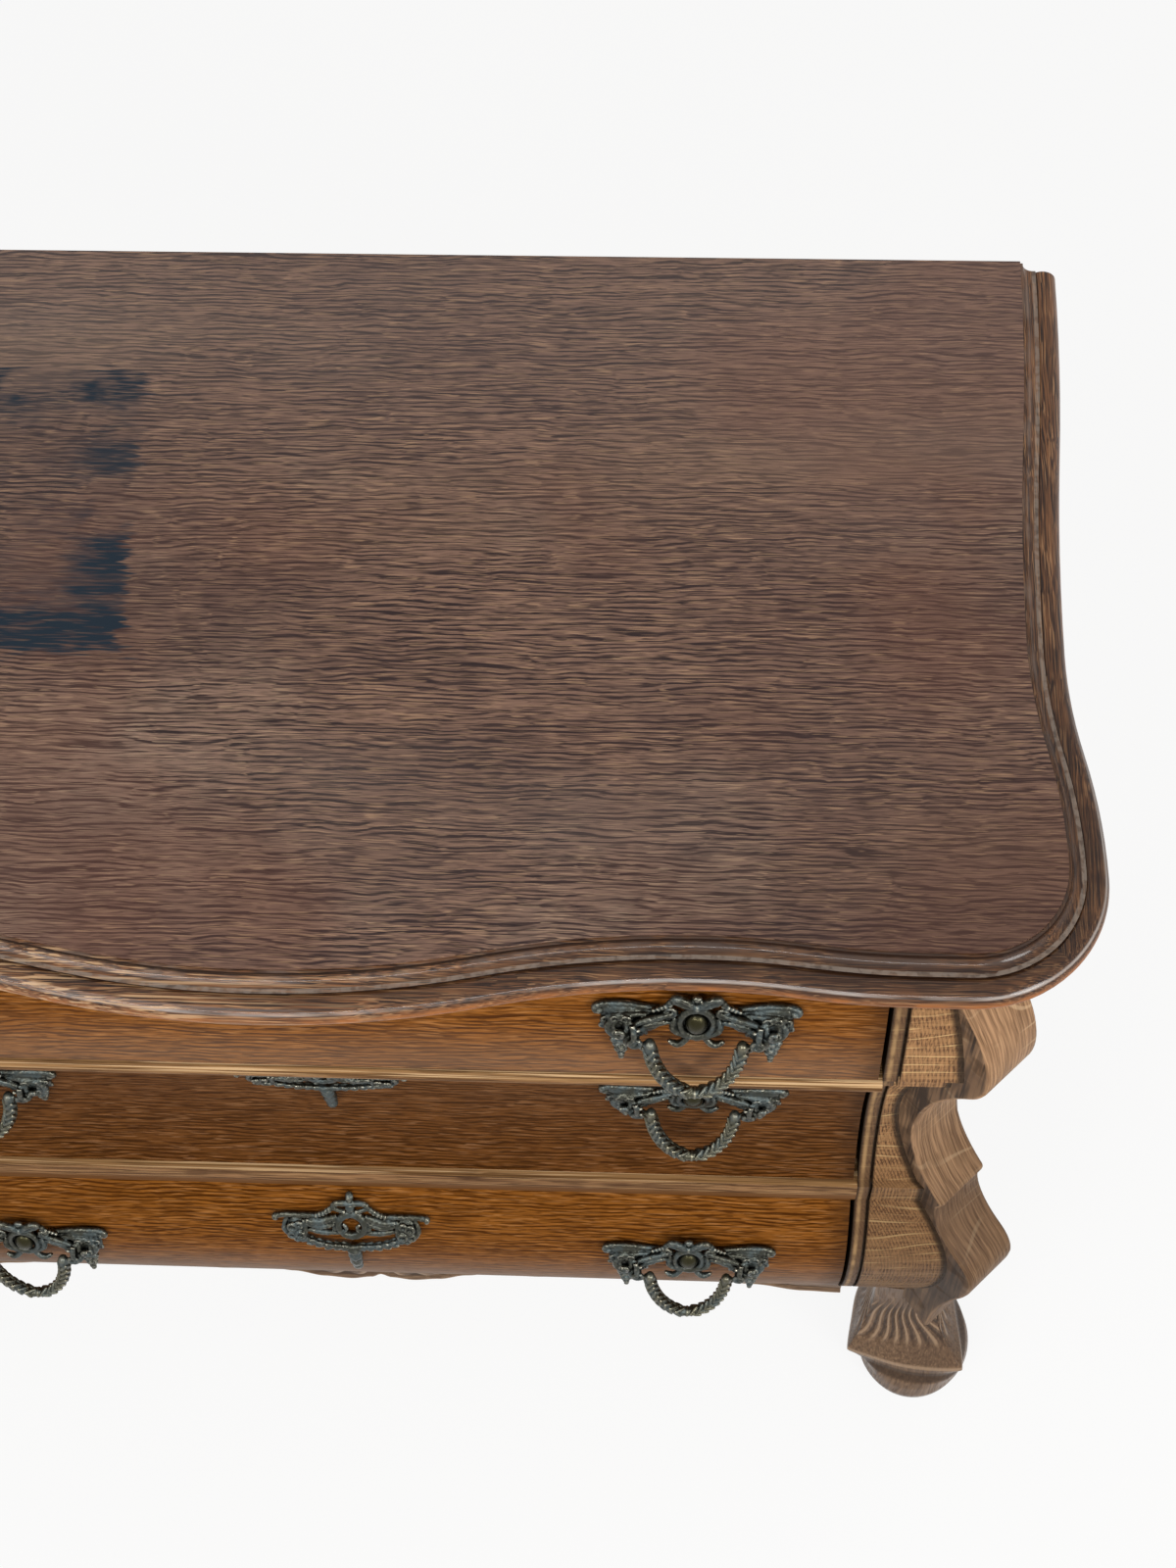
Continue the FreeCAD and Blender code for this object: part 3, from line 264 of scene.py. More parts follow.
stripLook = {
    "along": "z", "light": (0.33, 0.170, 0.072), "dark": (0.090, 0.042, 0.019), "shade": (0.14, 0.068, 0.032),
    "pore": (0.040, 0.019, 0.009), "fleck": (0.40, 0.23, 0.10), "rough": 0.46, "fleckDepth": 0.25, "shine": 0.05,
    "length": 0.020, "width": 0.0012, "spread": 0.15, "wander": 0.002, "ripple": 0.0, "bands": 0.0027,
    "drift": (0.060, 0.020, 1.2), "bandDepth": 0.26,
}
postLook = {
    "along": "yz", "light": (0.45, 0.262, 0.140), "dark": (0.150, 0.080, 0.040), "shade": (0.19, 0.102, 0.052),
    "pore": (0.085, 0.043, 0.021), "fleck": (0.50, 0.31, 0.17), "rough": 0.48, "poreDepth": 0.4, "fleckDepth": 0.25,
    "shine": 0.08, "length": 0.05, "width": 0.0014, "spread": 0.22,
}
footLook = {
    "along": "z", "light": (0.20, 0.122, 0.070), "dark": (0.070, 0.040, 0.024), "shade": (0.06, 0.036, 0.024),
    "pore": (0.035, 0.020, 0.012), "fleck": (0.30, 0.19, 0.11), "rough": 0.32, "poreDepth": 0.2, "wander": 0.03,
    "shine": 0.12, "length": 0.05, "width": 0.0022, "spread": 0.34, "fleckDepth": 0.2, "blotch": 0.6,
}
sideLook = {
    "along": "z", "scale": (0.3, 1, 1), "light": (0.26, 0.130, 0.052), "dark": (0.080, 0.036, 0.014),
    "shade": (0.10, 0.045, 0.02), "pore": (0.040, 0.018, 0.008), "fleck": (0.38, 0.21, 0.09), "rough": 0.42,
    "shine": 0.1, "fleckDepth": 0.25, "length": 0.07, "width": 0.0016, "spread": 0.16, "bands": 0.0068,
    "drift": (0.30, 0.030, 2.2),
}
insideLook = {
    "along": "y", "light": (0.52, 0.36, 0.20), "dark": (0.28, 0.170, 0.088), "shade": (0.28, 0.17, 0.09),
    "pore": (0.16, 0.095, 0.048), "fleck": (0.58, 0.42, 0.25), "rough": 0.62, "poreDepth": 0.4, "shine": 0.15,
    "length": 0.12, "width": 0.0019, "spread": 0.22, "fleckDepth": 0.25,
}

# Heights on the top's moulding: the worn ledge, and the step above the round nose
edgeLevels = {"ledge": 0.8505, "noseTop": 0.8488}
# Tones of the moulding: painted shade in the step, a painted amber reflection under the nose and a painted highlight
# along the nose's crown, with its own greyer cove, worn streaks and pale ledge
edgeTones = {
    "cove": ((0.17, 0.118, 0.092), 0.65), "creviceShade": ((0.010, 0.006, 0.005), 0.9), "paintedAmberReflection": ((0.300, 0.098, 0.018), 1.0),
    "gloom": ((0.017, 0.007, 0.004), 1.0), "crown": ((0.52, 0.46, 0.42), 1.0), "rubbed": ((0.48, 0.30, 0.16), 0.75),
    "ledge": ((0.27, 0.22, 0.18), 1.0),
}


def polishedEdge(point, facing, tone):  # painted shade in the step, greyer cove, painted amber reflection under the nose, a painted highlight on the nose's crown, worn lines
    x, y, z = apart(point)
    nz = apart(facing)[2]
    noseTop = edgeLevels["noseTop"]
    steep = 1.0 - nz.rise(0.2, 0.55)
    # painted shade on the steep wall of the step over the nose
    creviceShade = steep * z.rise(noseTop, noseTop + 0.0006)
    cove = z.rise(edgeLevels["ledge"], edgeLevels["ledge"] + 0.002) * (1.0 - steep)
    ledge = (1.0 - abs(z - edgeLevels["ledge"]).rise(0.00003, 0.00012)) * nz.rise(0.985, 0.9995)
    chips = noise(point, 160.0, 2.0, 3.0).rise(0.38, 0.58)
    scuff = noise(point, 40.0, 3.0, 9.0).rise(0.4, 0.65)
    pale = noise(point, 9.0, 2.0, 17.0).rise(0.38, 0.60)
    # painted amber reflection on the underside of the nose
    paintedAmberReflection = (1.0 - nz.rise(0.10, 0.60)) * (1.0 - z.rise(noseTop - 0.004, noseTop))
    gloom = x.rise(-0.02, 0.30) * (1.0 - y.rise(-0.14, 0.06))
    # painted highlight in a band along the front of the nose
    crown = (1.0 - abs(nz - 0.66).rise(0.02, 0.12)) * (1.0 - z.rise(noseTop - 0.001, noseTop))
    front = (1.0 - y.rise(-0.16, -0.02)) * x.rise(-0.30, -0.08)
    rubbed = streaks(point, "x", 0.110, 0.0016, 12.0, 1.0).rise(0.52, 0.64) * (1.0 - x.rise(-0.12, 0.16))
    return washes(point, tone, edgeTones, {
        "cove": cove * scuff, "creviceShade": creviceShade, "paintedAmberReflection": paintedAmberReflection * (scuff * 0.5 + 0.30),
        "gloom": gloom * (1.0 - paintedAmberReflection) * (scuff * 0.25 + 0.50),
        "crown": crown * (pale * 0.42 + scuff * 0.12) * front,
        "rubbed": rubbed * (1.0 - y.rise(-0.2, -0.1)) * (1.0 - creviceShade),
        "ledge": ledge * (chips * 0.30 + 0.25),
    })


railTones = {
    "ledge": ((0.29, 0.160, 0.064), 1.0), "seam": ((0.075, 0.034, 0.012), 0.75),
    "low": ((0.105, 0.042, 0.012), 0.85), "bright": ((0.68, 0.46, 0.25), 0.64),
}
railLow = (0.4085, 0.4115)  # the lower rail darkens between these heights


def goldenLedge(point, facing, tone):  # polish rubbed off the ledge of a rail
    ledge = apart(facing)[2].rise(0.25, 0.7)
    chips = streaks(point, "x", 0.06, 0.0030, 2.2, 2.0).rise(0.42, 0.56)
    bright = streaks(point, "x", 0.16, 0.0017, 6.2, 1.0).rise(0.53, 0.61)
    seam = streaks(point, "x", 0.30, 0.0014, 11.2, 1.0).rise(0.53, 0.60)
    return washes(point, tone, railTones, {
        "ledge": ledge * (chips * 0.50 + 0.32), "seam": ledge * seam,
        "low": 1.0 - apart(point)[2].rise(*railLow), "bright": ledge * bright,
    })


# The stile has painted shade in the bead's groove, along its edge by the drawers, in the crease at the cheek and on
# the bead's sides, and a painted highlight on the bead's crest; cheek is where the diagonal post's plane meets the
# stile, at x + y
stileSpots = {"edge": 0.377, "crest": 0.3805, "groove": 0.387, "cheek": 0.2063, "raySpacing": 0.0135}
stileTones = {
    "rows": ((0.34, 0.185, 0.080), 0.45), "thin": ((0.60, 0.40, 0.185), 1.0), "faint": ((0.46, 0.28, 0.13), 0.35),
    "low": ((0.030, 0.016, 0.009), 0.62), "beadSideShade": ((0.065, 0.036, 0.020), 0.75),
    "crest": ((0.36, 0.220, 0.100), 1.0), "creviceShade": ((0.012, 0.007, 0.004), 0.9),
}


def rayFlecks(point, facing, tone):  # thin pale lines across quarter-sawn oak, with painted shade in the crevices, on the bead and toward the bottom, and a painted highlight on the bead's crest
    x, y, z = apart(point)
    away = abs(x)
    slow = noise(point, (7.0, 7.0, 14.0), 1.0, 5.1)
    level = (z - away * 0.10) * (1 / stileSpots["raySpacing"]) + slow * 4.2
    thin = point.maths("SINE", level * math.tau).rise(0.90, 0.985)
    faint = point.maths("SINE", level * (math.tau * 2.6)).rise(0.86, 0.97)
    broken = noise(point, (30.0, 30.0, 90.0), 1.0, 2.7).rise(0.36, 0.60)
    rows = noise(point, (18.0, 18.0, 150.0), 1.0, 8.8).rise(0.44, 0.60)
    # painted shade on the bead's rounded sides
    beadSideShade = 1.0 - (away - stileSpots["groove"]).rise(-0.0006, 0.0004)
    # painted highlight along the bead's crest
    crest = 1.0 - abs(away - stileSpots["crest"]).rise(0.0003, 0.0022)
    # painted shade in the groove, by the drawer gap and in the crease at the cheek
    groove = 1.0 - abs(away - stileSpots["groove"]).rise(0.0006, 0.0026)
    edge = 1.0 - (away - stileSpots["edge"]).rise(0.0, 0.0022)
    corner = 1.0 - abs(away + y - stileSpots["cheek"]).rise(0.0022, 0.0075)
    return washes(point, tone, stileTones, {
        "rows": rows, "thin": thin * (broken * 0.55 + 0.06), "faint": faint * broken,
        # low: painted shade, the stile darker toward the bottom
        "low": 1.0 - z.rise(0.22, 0.70), "beadSideShade": beadSideShade, "crest": beadSideShade * crest * (broken * 0.35 + 0.25),
        "creviceShade": groove.larger(edge).larger(corner),
    })


stepShade = {"top": 0.405, "deep": 0.100}  # height of the step on the posts, and how far its painted shade goes down
postTones = {
    "rays": ((0.60, 0.42, 0.25), 0.36), "low": ((0.030, 0.018, 0.011), 0.62), "step": ((0.040, 0.023, 0.016), 0.42),
    "cheek": ((0.030, 0.017, 0.010), 1.0),
}


def darkCheeks(side):  # the sides of the diagonal post are darker than its face; painted shade makes its foot darker than its head and darkens it under the step
    def shade(point, facing, tone):
        nx, ny = apart(facing)[:2]
        z = apart(point)[2]
        cheek = abs(nx + ny * side).rise(1.25, 1.38)
        smear = streaks(point, "z", 0.12, 0.012, 3.3, 2.0).rise(0.38, 0.62)
        fine = streaks(point, "z", 0.05, 0.0026, 4.1, 1.0).rise(0.40, 0.60)
        cycle = z * (1 / 0.017) + noise(point, (9.0, 9.0, 12.0), 1.0, 1.9) * 5.0
        rays = point.maths("SINE", cycle * math.tau).rise(0.9, 0.99)
        # painted shade under the step's ledge
        under = z.rise(stepShade["top"] - stepShade["deep"], stepShade["top"])
        under = under * (1.0 - z.rise(stepShade["top"], stepShade["top"] + 0.004))
        return washes(point, tone, postTones, {
            # low: painted shade, darker toward the bottom
            "rays": rays * noise(point, 26.0, 1.0, 7.2).rise(0.44, 0.60), "low": 1.0 - z.rise(0.25, 0.80),
            "step": under, "cheek": cheek * (smear * 0.35 + fine * 0.35 + 0.30),
        })
    return shade


# Painted shade in carved hollows and painted highlight on carved crests
carveShadeTones = {"hollow": ((0.022, 0.013, 0.009), 0.68), "crest": ((0.33, 0.22, 0.135), 0.55)}


def paintedCarveShading(point, facing, tone):  # painted shade in the carving's hollows and a painted highlight on its crests
    carve = point.node("ShaderNodeAttribute", {"attribute_name": "carve"}, {}, 2)
    amounts = {"hollow": carve.rise(0.25, 0.95), "crest": (0.0 - carve).rise(0.35, 0.95)}
    return washes(point, tone, carveShadeTones, amounts)


# Where each drawer face is greyed by a painted reflection: none at the first height, full at the second, and how much
paintedReflectionHeights = {"top": (0.715, 0.645, 0.30), "middle": (0.540, 0.612, 0.30), "bottom": (0.335, 0.225, 0.62)}
# Tones for the painted reflection and for the painted shade at the drawers' ends
reflectionAndShadeTones = {"paintedReflection": ((0.190, 0.142, 0.108), 1.0), "endShade": ((0.018, 0.009, 0.005), 0.6)}


def reflectionAndShadeFace(drawer):  # painted greyish reflection up or down the face, and painted shade at the ends beside the stiles
    def shade(point, facing, tone):
        x, z = apart(point)[::2]
        none, full, depth = paintedReflectionHeights[drawer]
        way = math.copysign(1, full - none)
        paintedReflection = (z * way).rise(none * way, full * way) * depth
        return washes(point, tone, reflectionAndShadeTones, {"paintedReflection": paintedReflection, "endShade": abs(x).rise(0.350, 0.378)})
    return shade


def dress(names, material):
    for name in names.split():
        mesh = nodes[name].data
        mesh.materials.clear()
        mesh.materials.append(material)


oakTop = oak("oakTop", topLook, trayStain)
oakMouldingFront = oak("oakMouldingFront", mouldingLook, polishedEdge)
oakMouldingSide = oak("oakMouldingSide", {**mouldingLook, "along": "y"}, polishedEdge)
oakDrawers = {name: oak("oakDrawer" + name.capitalize(), look, reflectionAndShadeFace(name)) for name, look in drawerLooks.items()}
oakRailWorn = oak("oakRailWorn", railLook, goldenLedge)
oakRail = oak("oakRail", railLook)
oakStrip = oak("oakStrip", stripLook, rayFlecks)
oakPosts = {
    "left": oak("oakPostLeft", {**postLook, "turn": 45}, darkCheeks(-1)),
    "right": oak("oakPostRight", {**postLook, "turn": -45}, darkCheeks(1)),
}
oakFoot = oak("oakFoot", footLook, paintedCarveShading)
oakApron = oak("oakApron", {**footLook, "along": "x"}, paintedCarveShading)
oakRearFoot = oak("oakRearFoot", footLook)
oakSide = oak("oakSide", sideLook)
oakInside = oak("oakInside", insideLook)
oakInsideAcross = oak("oakInsideAcross", {**insideLook, "along": "x"})
oakInsideUp = oak("oakInsideUp", {**insideLook, "along": "z"})

dress("top_panel", oakTop)
dress("top_moulding_front", oakMouldingFront)
dress("top_moulding_left top_moulding_right", oakMouldingSide)
dress("rail_upper rail_lower", oakRailWorn)
dress("top_rail base_rail front_apron", oakRail)
dress("stile_left stile_right", oakStrip)
dress("post_left", oakPosts["left"])
dress("post_right", oakPosts["right"])
dress("side_panel_left side_panel_right", oakSide)
dress("front_foot_left front_foot_right rear_feet", oakRearFoot)
dress("drawer_runners kickers drawer_stops", oakInside)
dress("back_panel bottom_board", oakInsideAcross)
dress("back_posts", oakInsideUp)
for name, material in oakDrawers.items():
    dress(f"drawer_{name}_front", material)
    dress(f"drawer_{name}_side_left drawer_{name}_side_right", oakInside)
    dress(f"drawer_{name}_back drawer_{name}_bottom", oakInsideAcross)
print("oak laid on the carcase and drawers")


# Tones of the cast metal; the tone on its high parts is rubbed wear and partly painted highlight
bronzeLook = {
    "deep": (0.004, 0.005, 0.004), "body": (0.042, 0.043, 0.033), "patina": (0.064, 0.084, 0.088),
    "rubAndGlint": (0.48, 0.455, 0.36), "rubAndGlintDepth": 0.70, "raised": (0.514, 0.580), "rough": 0.30,
}
rubbedGlintLook = {"body": (0.075, 0.072, 0.049), "rubAndGlint": (0.50, 0.45, 0.32), "raised": (0.510, 0.570)}  # bright from hands, with stronger painted highlights
bossLook = {"body": (0.024, 0.021, 0.006), "patina": (0.016, 0.016, 0.006), "rubAndGlintDepth": 0.04}
ironLook = {"body": (0.05, 0.048, 0.045), "patina": (0.09, 0.05, 0.03), "rough": 0.5, "rubAndGlintDepth": 0.4}
steelLook = {"body": (0.32, 0.31, 0.29), "patina": (0.22, 0.2, 0.18), "rough": 0.35}


def bronze(name, change):  # dark in its hollows; its high parts rubbed bright and given painted highlights
    look = {**bronzeLook, **change}
    material, point = newLook(name)[:2]
    bend = point.node("ShaderNodeNewGeometry", {}, {}, 7)  # pointiness, high on raised edges
    spots = noise(point, 260.0, 3.0, 2.0)
    cloudy = noise(point, 70.0, 2.0, 8.0).rise(0.42, 0.62)
    raised = (bend + spots * 0.04 - 0.02).rise(*look["raised"])
    hollow = 1.0 - (bend + spots * 0.03 - 0.015).rise(0.455, 0.503)
    shelter = point.node("ShaderNodeAmbientOcclusion", {"samples": 6, "only_local": True}, {"Distance": 0.005}, 1)
    crevice = 1.0 - shelter.rise(0.40, 0.86)
    tone = point.over(look["body"], look["patina"], cloudy * 0.7)
    tone = point.over(tone, look["deep"], hollow.larger(crevice) * 0.92)
    # rubbed wear and painted highlights on the high parts
    tone = point.over(tone, look["rubAndGlint"], raised * look["rubAndGlintDepth"])
    grain = point.node("ShaderNodeBump", {}, {"Strength": 0.35, "Distance": 0.0006, "Height": spots})
    rough = look["rough"] + cloudy * 0.16 - raised * 0.1
    closeLook(point, {"Base Color": tone, "Roughness": rough, "Metallic": 0.85, "Normal": grain})
    return material


agedBronze = bronze("agedBronze", {})
rubbedGlintBronze = bronze("rubbedGlintBronze", rubbedGlintLook)
bossBrass = bronze("bossBrass", bossLook)
lockIron = bronze("lockIron", ironLook)
screwSteel = bronze("screwSteel", steelLook)
for name in drawerLooks:
    dress(f"drawer_{name}_lock drawer_{name}_bolt", lockIron)
    dress(f"handle_screws_{name}", screwSteel)
    dress(f"escutcheon_{name} handle_plates_{name} bail_{name}_left bail_{name}_right", agedBronze)


def clear():
    bpy.ops.object.select_all(action="DESELECT")


def spotAt(x, z, out):  # millimetres on a drawer face, out of it is -Y
    return Vector((x, -out, z)) * mm


clear()
bpy.ops.mesh.primitive_uv_sphere_add(segments=18, ring_count=12, radius=mm)
ballMaster = bpy.context.object


def bead(spot, radii, turn=0.0, tilt=0.0):  # an egg of that width, height and depth
    ball = ballMaster.copy()
    ball.data = ballMaster.data.copy()
    ball.location = spotAt(*spot)
    ball.scale = (radii[0], radii[2], radii[1])
    tipped = Matrix.Rotation(math.radians(turn), 3, "Y") @ Matrix.Rotation(math.radians(tilt), 3, "Z")
    ball.rotation_euler = tipped.to_euler()
    bpy.context.collection.objects.link(ball)
    return ball


def tube(spots, thick, closed=False):
    curve = bpy.data.curves.new("tube", "CURVE")
    curve.dimensions = "3D"
    curve.bevel_depth = mm
    curve.bevel_resolution = 3
    curve.use_fill_caps = True
    line = curve.splines.new("NURBS")
    line.points.add(len(spots) - 1)
    for point, spot, radius in zip(line.points, spots, thick):
        point.co = (*spotAt(*spot), 1)
        point.radius = radius
    line.use_cyclic_u = closed
    line.use_endpoint_u = not closed
    line.order_u = 3
    line.resolution_u = 8
    made = bpy.data.objects.new("tube", curve)
    bpy.context.collection.objects.link(made)
    return made


def hoop(spot, radius, thick, tall=1.0):
    bpy.ops.mesh.primitive_torus_add(
        major_radius=radius * mm, minor_radius=thick * mm, major_segments=48, minor_segments=14,
        location=spotAt(*spot), rotation=(math.pi / 2, 0, 0))
    made = bpy.context.object
    made.scale = (1, tall, 1)
    return made


def bothSides(shape):  # the right half's parts and their mirror images
    made = []
    for name, line in shape["tubes"].items():
        for side in (1, -1):
            spots = [(side * x, z, out) for x, z, out, thick in line]
            made.append(tube(spots, [spot[3] for spot in line], name in shape["closed"]))
    for x, z, out, wide, tall, deep, *slant in shape["beads"]:
        turn = sum(slant)
        made.append(bead((x, z, out), (wide, tall, deep), turn))
        made.append(bead((-x, z, out), (wide, tall, deep), -turn))
    return made


castSkin = bpy.data.textures.new("castSkin", "CLOUDS")
castSkin.noise_scale = 2.2 * mm
castSkin.noise_depth = 1
# How fine each casting is melted and how rough its skin is, in millimetres, and the share of faces it keeps
castings = {
    "plate": {"voxel": 0.42, "rough": 0.6, "keep": 0.34}, "bail": {"voxel": 0.36, "rough": 0.25, "keep": 0.4},
    "key": {"voxel": 0.42, "rough": 0.7, "keep": 0.34},
}


def cast(name, parts, material):  # melts the modelled parts into one casting
    clear()
    for part in parts:
        part.select_set(True)
    bpy.context.view_layer.objects.active = parts[0]
    bpy.ops.object.convert(target="MESH")
    bpy.ops.object.join()
    piece = bpy.context.object
    piece.name = name + "Master"
    bpy.ops.object.transform_apply(location=True, rotation=True, scale=True)
    remesh = piece.modifiers.new("remesh", "REMESH")
    remesh.mode = "VOXEL"
    remesh.voxel_size = castings[name]["voxel"] * mm
    soften = piece.modifiers.new("soften", "SMOOTH")
    soften.factor = 0.5
    soften.iterations = 1
    skin = piece.modifiers.new("skin", "DISPLACE")
    skin.texture = castSkin
    skin.texture_coords = "LOCAL"
    skin.strength = castings[name]["rough"] * mm
    skin.mid_level = 0.5
    thin = piece.modifiers.new("thin", "DECIMATE")
    thin.ratio = castings[name]["keep"]
    for step in ("remesh", "soften", "skin", "thin"):
        bpy.ops.object.modifier_apply(modifier=step)
    bpy.ops.object.shade_smooth()
    paint(piece, material)
    return piece


def paint(piece, material):
    piece.data.materials.clear()
    piece.data.materials.append(material)


def copyTo(piece, name, matrix):
    made = piece.copy()
    made.data = piece.data.copy()
    made.name = name
    made.data.transform(matrix)
    bpy.context.collection.objects.link(made)
    return made


def faceAt(drawer, z, x=0.12):  # where a drawer's face stands at a height
    return nodes[f"drawer_{drawer}_front"].ray_cast((x, -1, z), (0, 1, 0))[1].y


def faceFrame(drawer, x, z):  # seat for a mount: right, into the wood, up the face
    slope = (faceAt(drawer, z + 0.012) - faceAt(drawer, z - 0.012)) / 0.024
    up = Vector((0, slope, 1)).normalized()
    back = Vector((0, 1, -slope)).normalized()
    turn = Matrix((Vector((1, 0, 0)), back, up)).transposed().to_4x4()
    return Matrix.Translation((x, faceAt(drawer, z), z)) @ turn


# One handle plate: ram heads either side of a rosette under a ribbon bow
plateShape = {
    "tubes": {  # across, up, out and thickness along each
        "ridge": [(22, 11, 2.5, 1.6), (29, 12, 3, 1.9), (37, 14.5, 3.4, 2.2), (46, 16.5, 3.6, 2.3),
                  (54, 16, 3.4, 2.3), (60, 14.5, 3, 2.2), (64.5, 11, 3.4, 2.8), (62.5, 6.5, 3.4, 2.1)],
        "brow": [(27, 7, 4.5, 1.5), (36, 9.5, 6.5, 2.2), (46, 10.5, 8, 2.6), (54, 8.5, 7.5, 2.3), (59, 4, 5.5, 1.6)],
        "backLeaf": [(56, 12, 4, 1.8), (59, 3, 5, 2.5), (57, -5, 5.5, 2.5), (54, -11, 5.5, 1.7)],
        "horn": [(52, 6, 8, 2.2), (56.5, 0, 9, 2.5), (54, -8, 9.5, 2.5), (48, -9, 12, 2.3), (45, -4, 13.5, 2.1),
                 (47, 1, 14.5, 2.0), (50.5, 0.5, 14.5, 1.7)],
        "upperLeaf": [(12, 9, 3.5, 1.4), (20, 8, 6.5, 2.7), (30, 7, 8.5, 2.9), (39, 4, 10.5, 2.2)],
        "lowerLeaf": [(13, -2, 3.5, 1.5), (21, 0.5, 6, 2.4), (30, 0, 8, 2.7), (37, -3, 10, 2.3)],
        "leafTip": [(20, 4, 8, 0.9), (27, 3.5, 9.5, 1.5), (33, 1, 10, 1.0)],
        "face": [(40, 6, 13, 2.0), (38.5, 0, 15.5, 2.4), (39, -6, 16.5, 1.8)],
        "foldInner": [(32, 6, 6.5, 1.5), (33.5, 1, 9.5, 2.1), (33, -5, 9.5, 2.1), (31.5, -10, 7.5, 1.4)],
        "foldMiddle": [(42, 9, 7, 1.6), (43.5, 3, 11.5, 2.2), (43.5, -4, 12.5, 2.2), (42.5, -11, 10, 1.5)],
        "foldOuter": [(50, 9, 6, 1.6), (51.5, 2, 9.5, 2.2), (51, -5, 9.5, 2.2), (49.5, -11, 8, 1.5)],
        "beard": [(43, -11, 10, 2.6), (38, -18, 10, 2.1), (31, -26, 10.5, 1.7)],
        "scroll": [(13.5, 4, 5, 1.5), (15.8, -3, 6.5, 2.3), (13, -9.5, 7, 2.4), (6.5, -13.5, 7, 1.6)],
        "ribbonTail": [(5, -14.5, 6.5, 1.9), (9, -21, 7.5, 2.6), (14, -22.5, 7, 2.5), (17.5, -19.5, 6, 1.4)],
        "bowLoop": [(1.5, 18.5, 6.5, 2.5), (6, 24, 7, 2.5), (12, 27.5, 6.5, 2.5), (15.5, 24.5, 6, 2.5),
                    (11, 20.5, 5.5, 2.5), (5, 17.5, 6, 2.5)],
        "bowEdge": [(15, 23, 5, 1.8), (18, 20, 5, 1.7), (18.5, 16.5, 4.5, 1.2)],
        "volute": [(12.5, 8, 5, 1.4), (14, 12.5, 5, 1.4), (18, 13, 5, 1.4), (20.5, 9, 5, 1.4), (18, 5, 5, 1.4),
                   (14.5, 5, 5, 1.4)],
    },
    "closed": ("bowLoop", "volute"),
    "beads": [  # place, half sizes and turn of each
        (47, 1, 3.5, 12, 11.5, 7.5), (35, 6, 2, 15, 7, 4, -4), (46, 10, 4.0, 14, 6.5, 3.8, -6),
        (31, -2, 4.5, 9, 7.5, 4.5), (40, -6, 6, 10, 8, 6), (53.5, -4, 7.5, 4.0, 6.0, 4.0, -15),
        (40.5, -10.5, 12.5, 5.4, 5.0, 5.4), (47.5, -13.5, 6.5, 4.6, 3.8, 4.0), (36.2, 3.2, 15.2, 1.6, 1.6, 1.4),
        (9, 22.8, 5.5, 5.2, 2.4, 1.8, -28), (61, 9.5, 4.5, 3.0, 2.6, 2.4), (19, 5, 2.5, 7, 6, 2.6),
        (16.6, 17.6, 5, 1.9, 1.9, 1.9), (19.2, 16, 5, 1.9, 1.9, 1.9), (21.7, 14.4, 5, 1.8, 1.8, 1.8),
        (24.2, 13.1, 5.2, 1.8, 1.8, 1.8), (26.7, 12.2, 5.6, 1.7, 1.7, 1.7), (43.6, -18.5, 6.5, 3.2, 3.0, 3.0),
        (47.6, -18, 8, 3.2, 3.0, 3.0), (51.4, -18.5, 6.5, 3.2, 3.0, 3.0), (44.8, -23.5, 6.5, 3.1, 2.9, 3.0),
        (50, -23.5, 6.5, 3.1, 2.9, 3.0), (47.4, -25.5, 8, 2.9, 2.8, 2.8), (45.6, -29, 6.5, 2.7, 2.7, 2.7),
        (49.4, -29, 6.5, 2.7, 2.7, 2.7), (47.4, -33, 7, 2.7, 2.8, 2.7), (47.4, -37.5, 6.5, 2.1, 2.8, 2.1),
    ],
    "ring": ((0, 0, 6.5), 10.4, 2.2, 1.42),
    "middle": [((0, 0, 2.5), (11, 13, 3.5)), ((0, 18, 7), (2.8, 3.6, 3.0)), ((0, 24.5, 5), (3.4, 2.6, 2.4)),
               ((0, -14, 5.5), (4.0, 2.6, 3.0))],
    "curls": [  # the mouth's ring, then locks of fleece
        ((38.3, -9.5, 16.5), 3.6, 1.5), ((50.5, 7.5, 9.5), 2.4, 1.1), ((44, 8, 10.2), 2.6, 1.1),
        ((40.5, 3.5, 11.5), 2.2, 1.1), ((56.5, 4.5, 7.5), 2.2, 1.1), ((50, -4.5, 11.5), 2.2, 1.1),
        ((31, 3.5, 8), 2.4, 1.1), ((25, 4, 6.5), 2.2, 1.1), ((58.5, -3.5, 6.5), 1.9, 1.1), ((43, -13, 10), 2.1, 1.1),
    ],
    "boss": ((0, 0, 5.8), (7.4, 10.2, 5.8)),
}
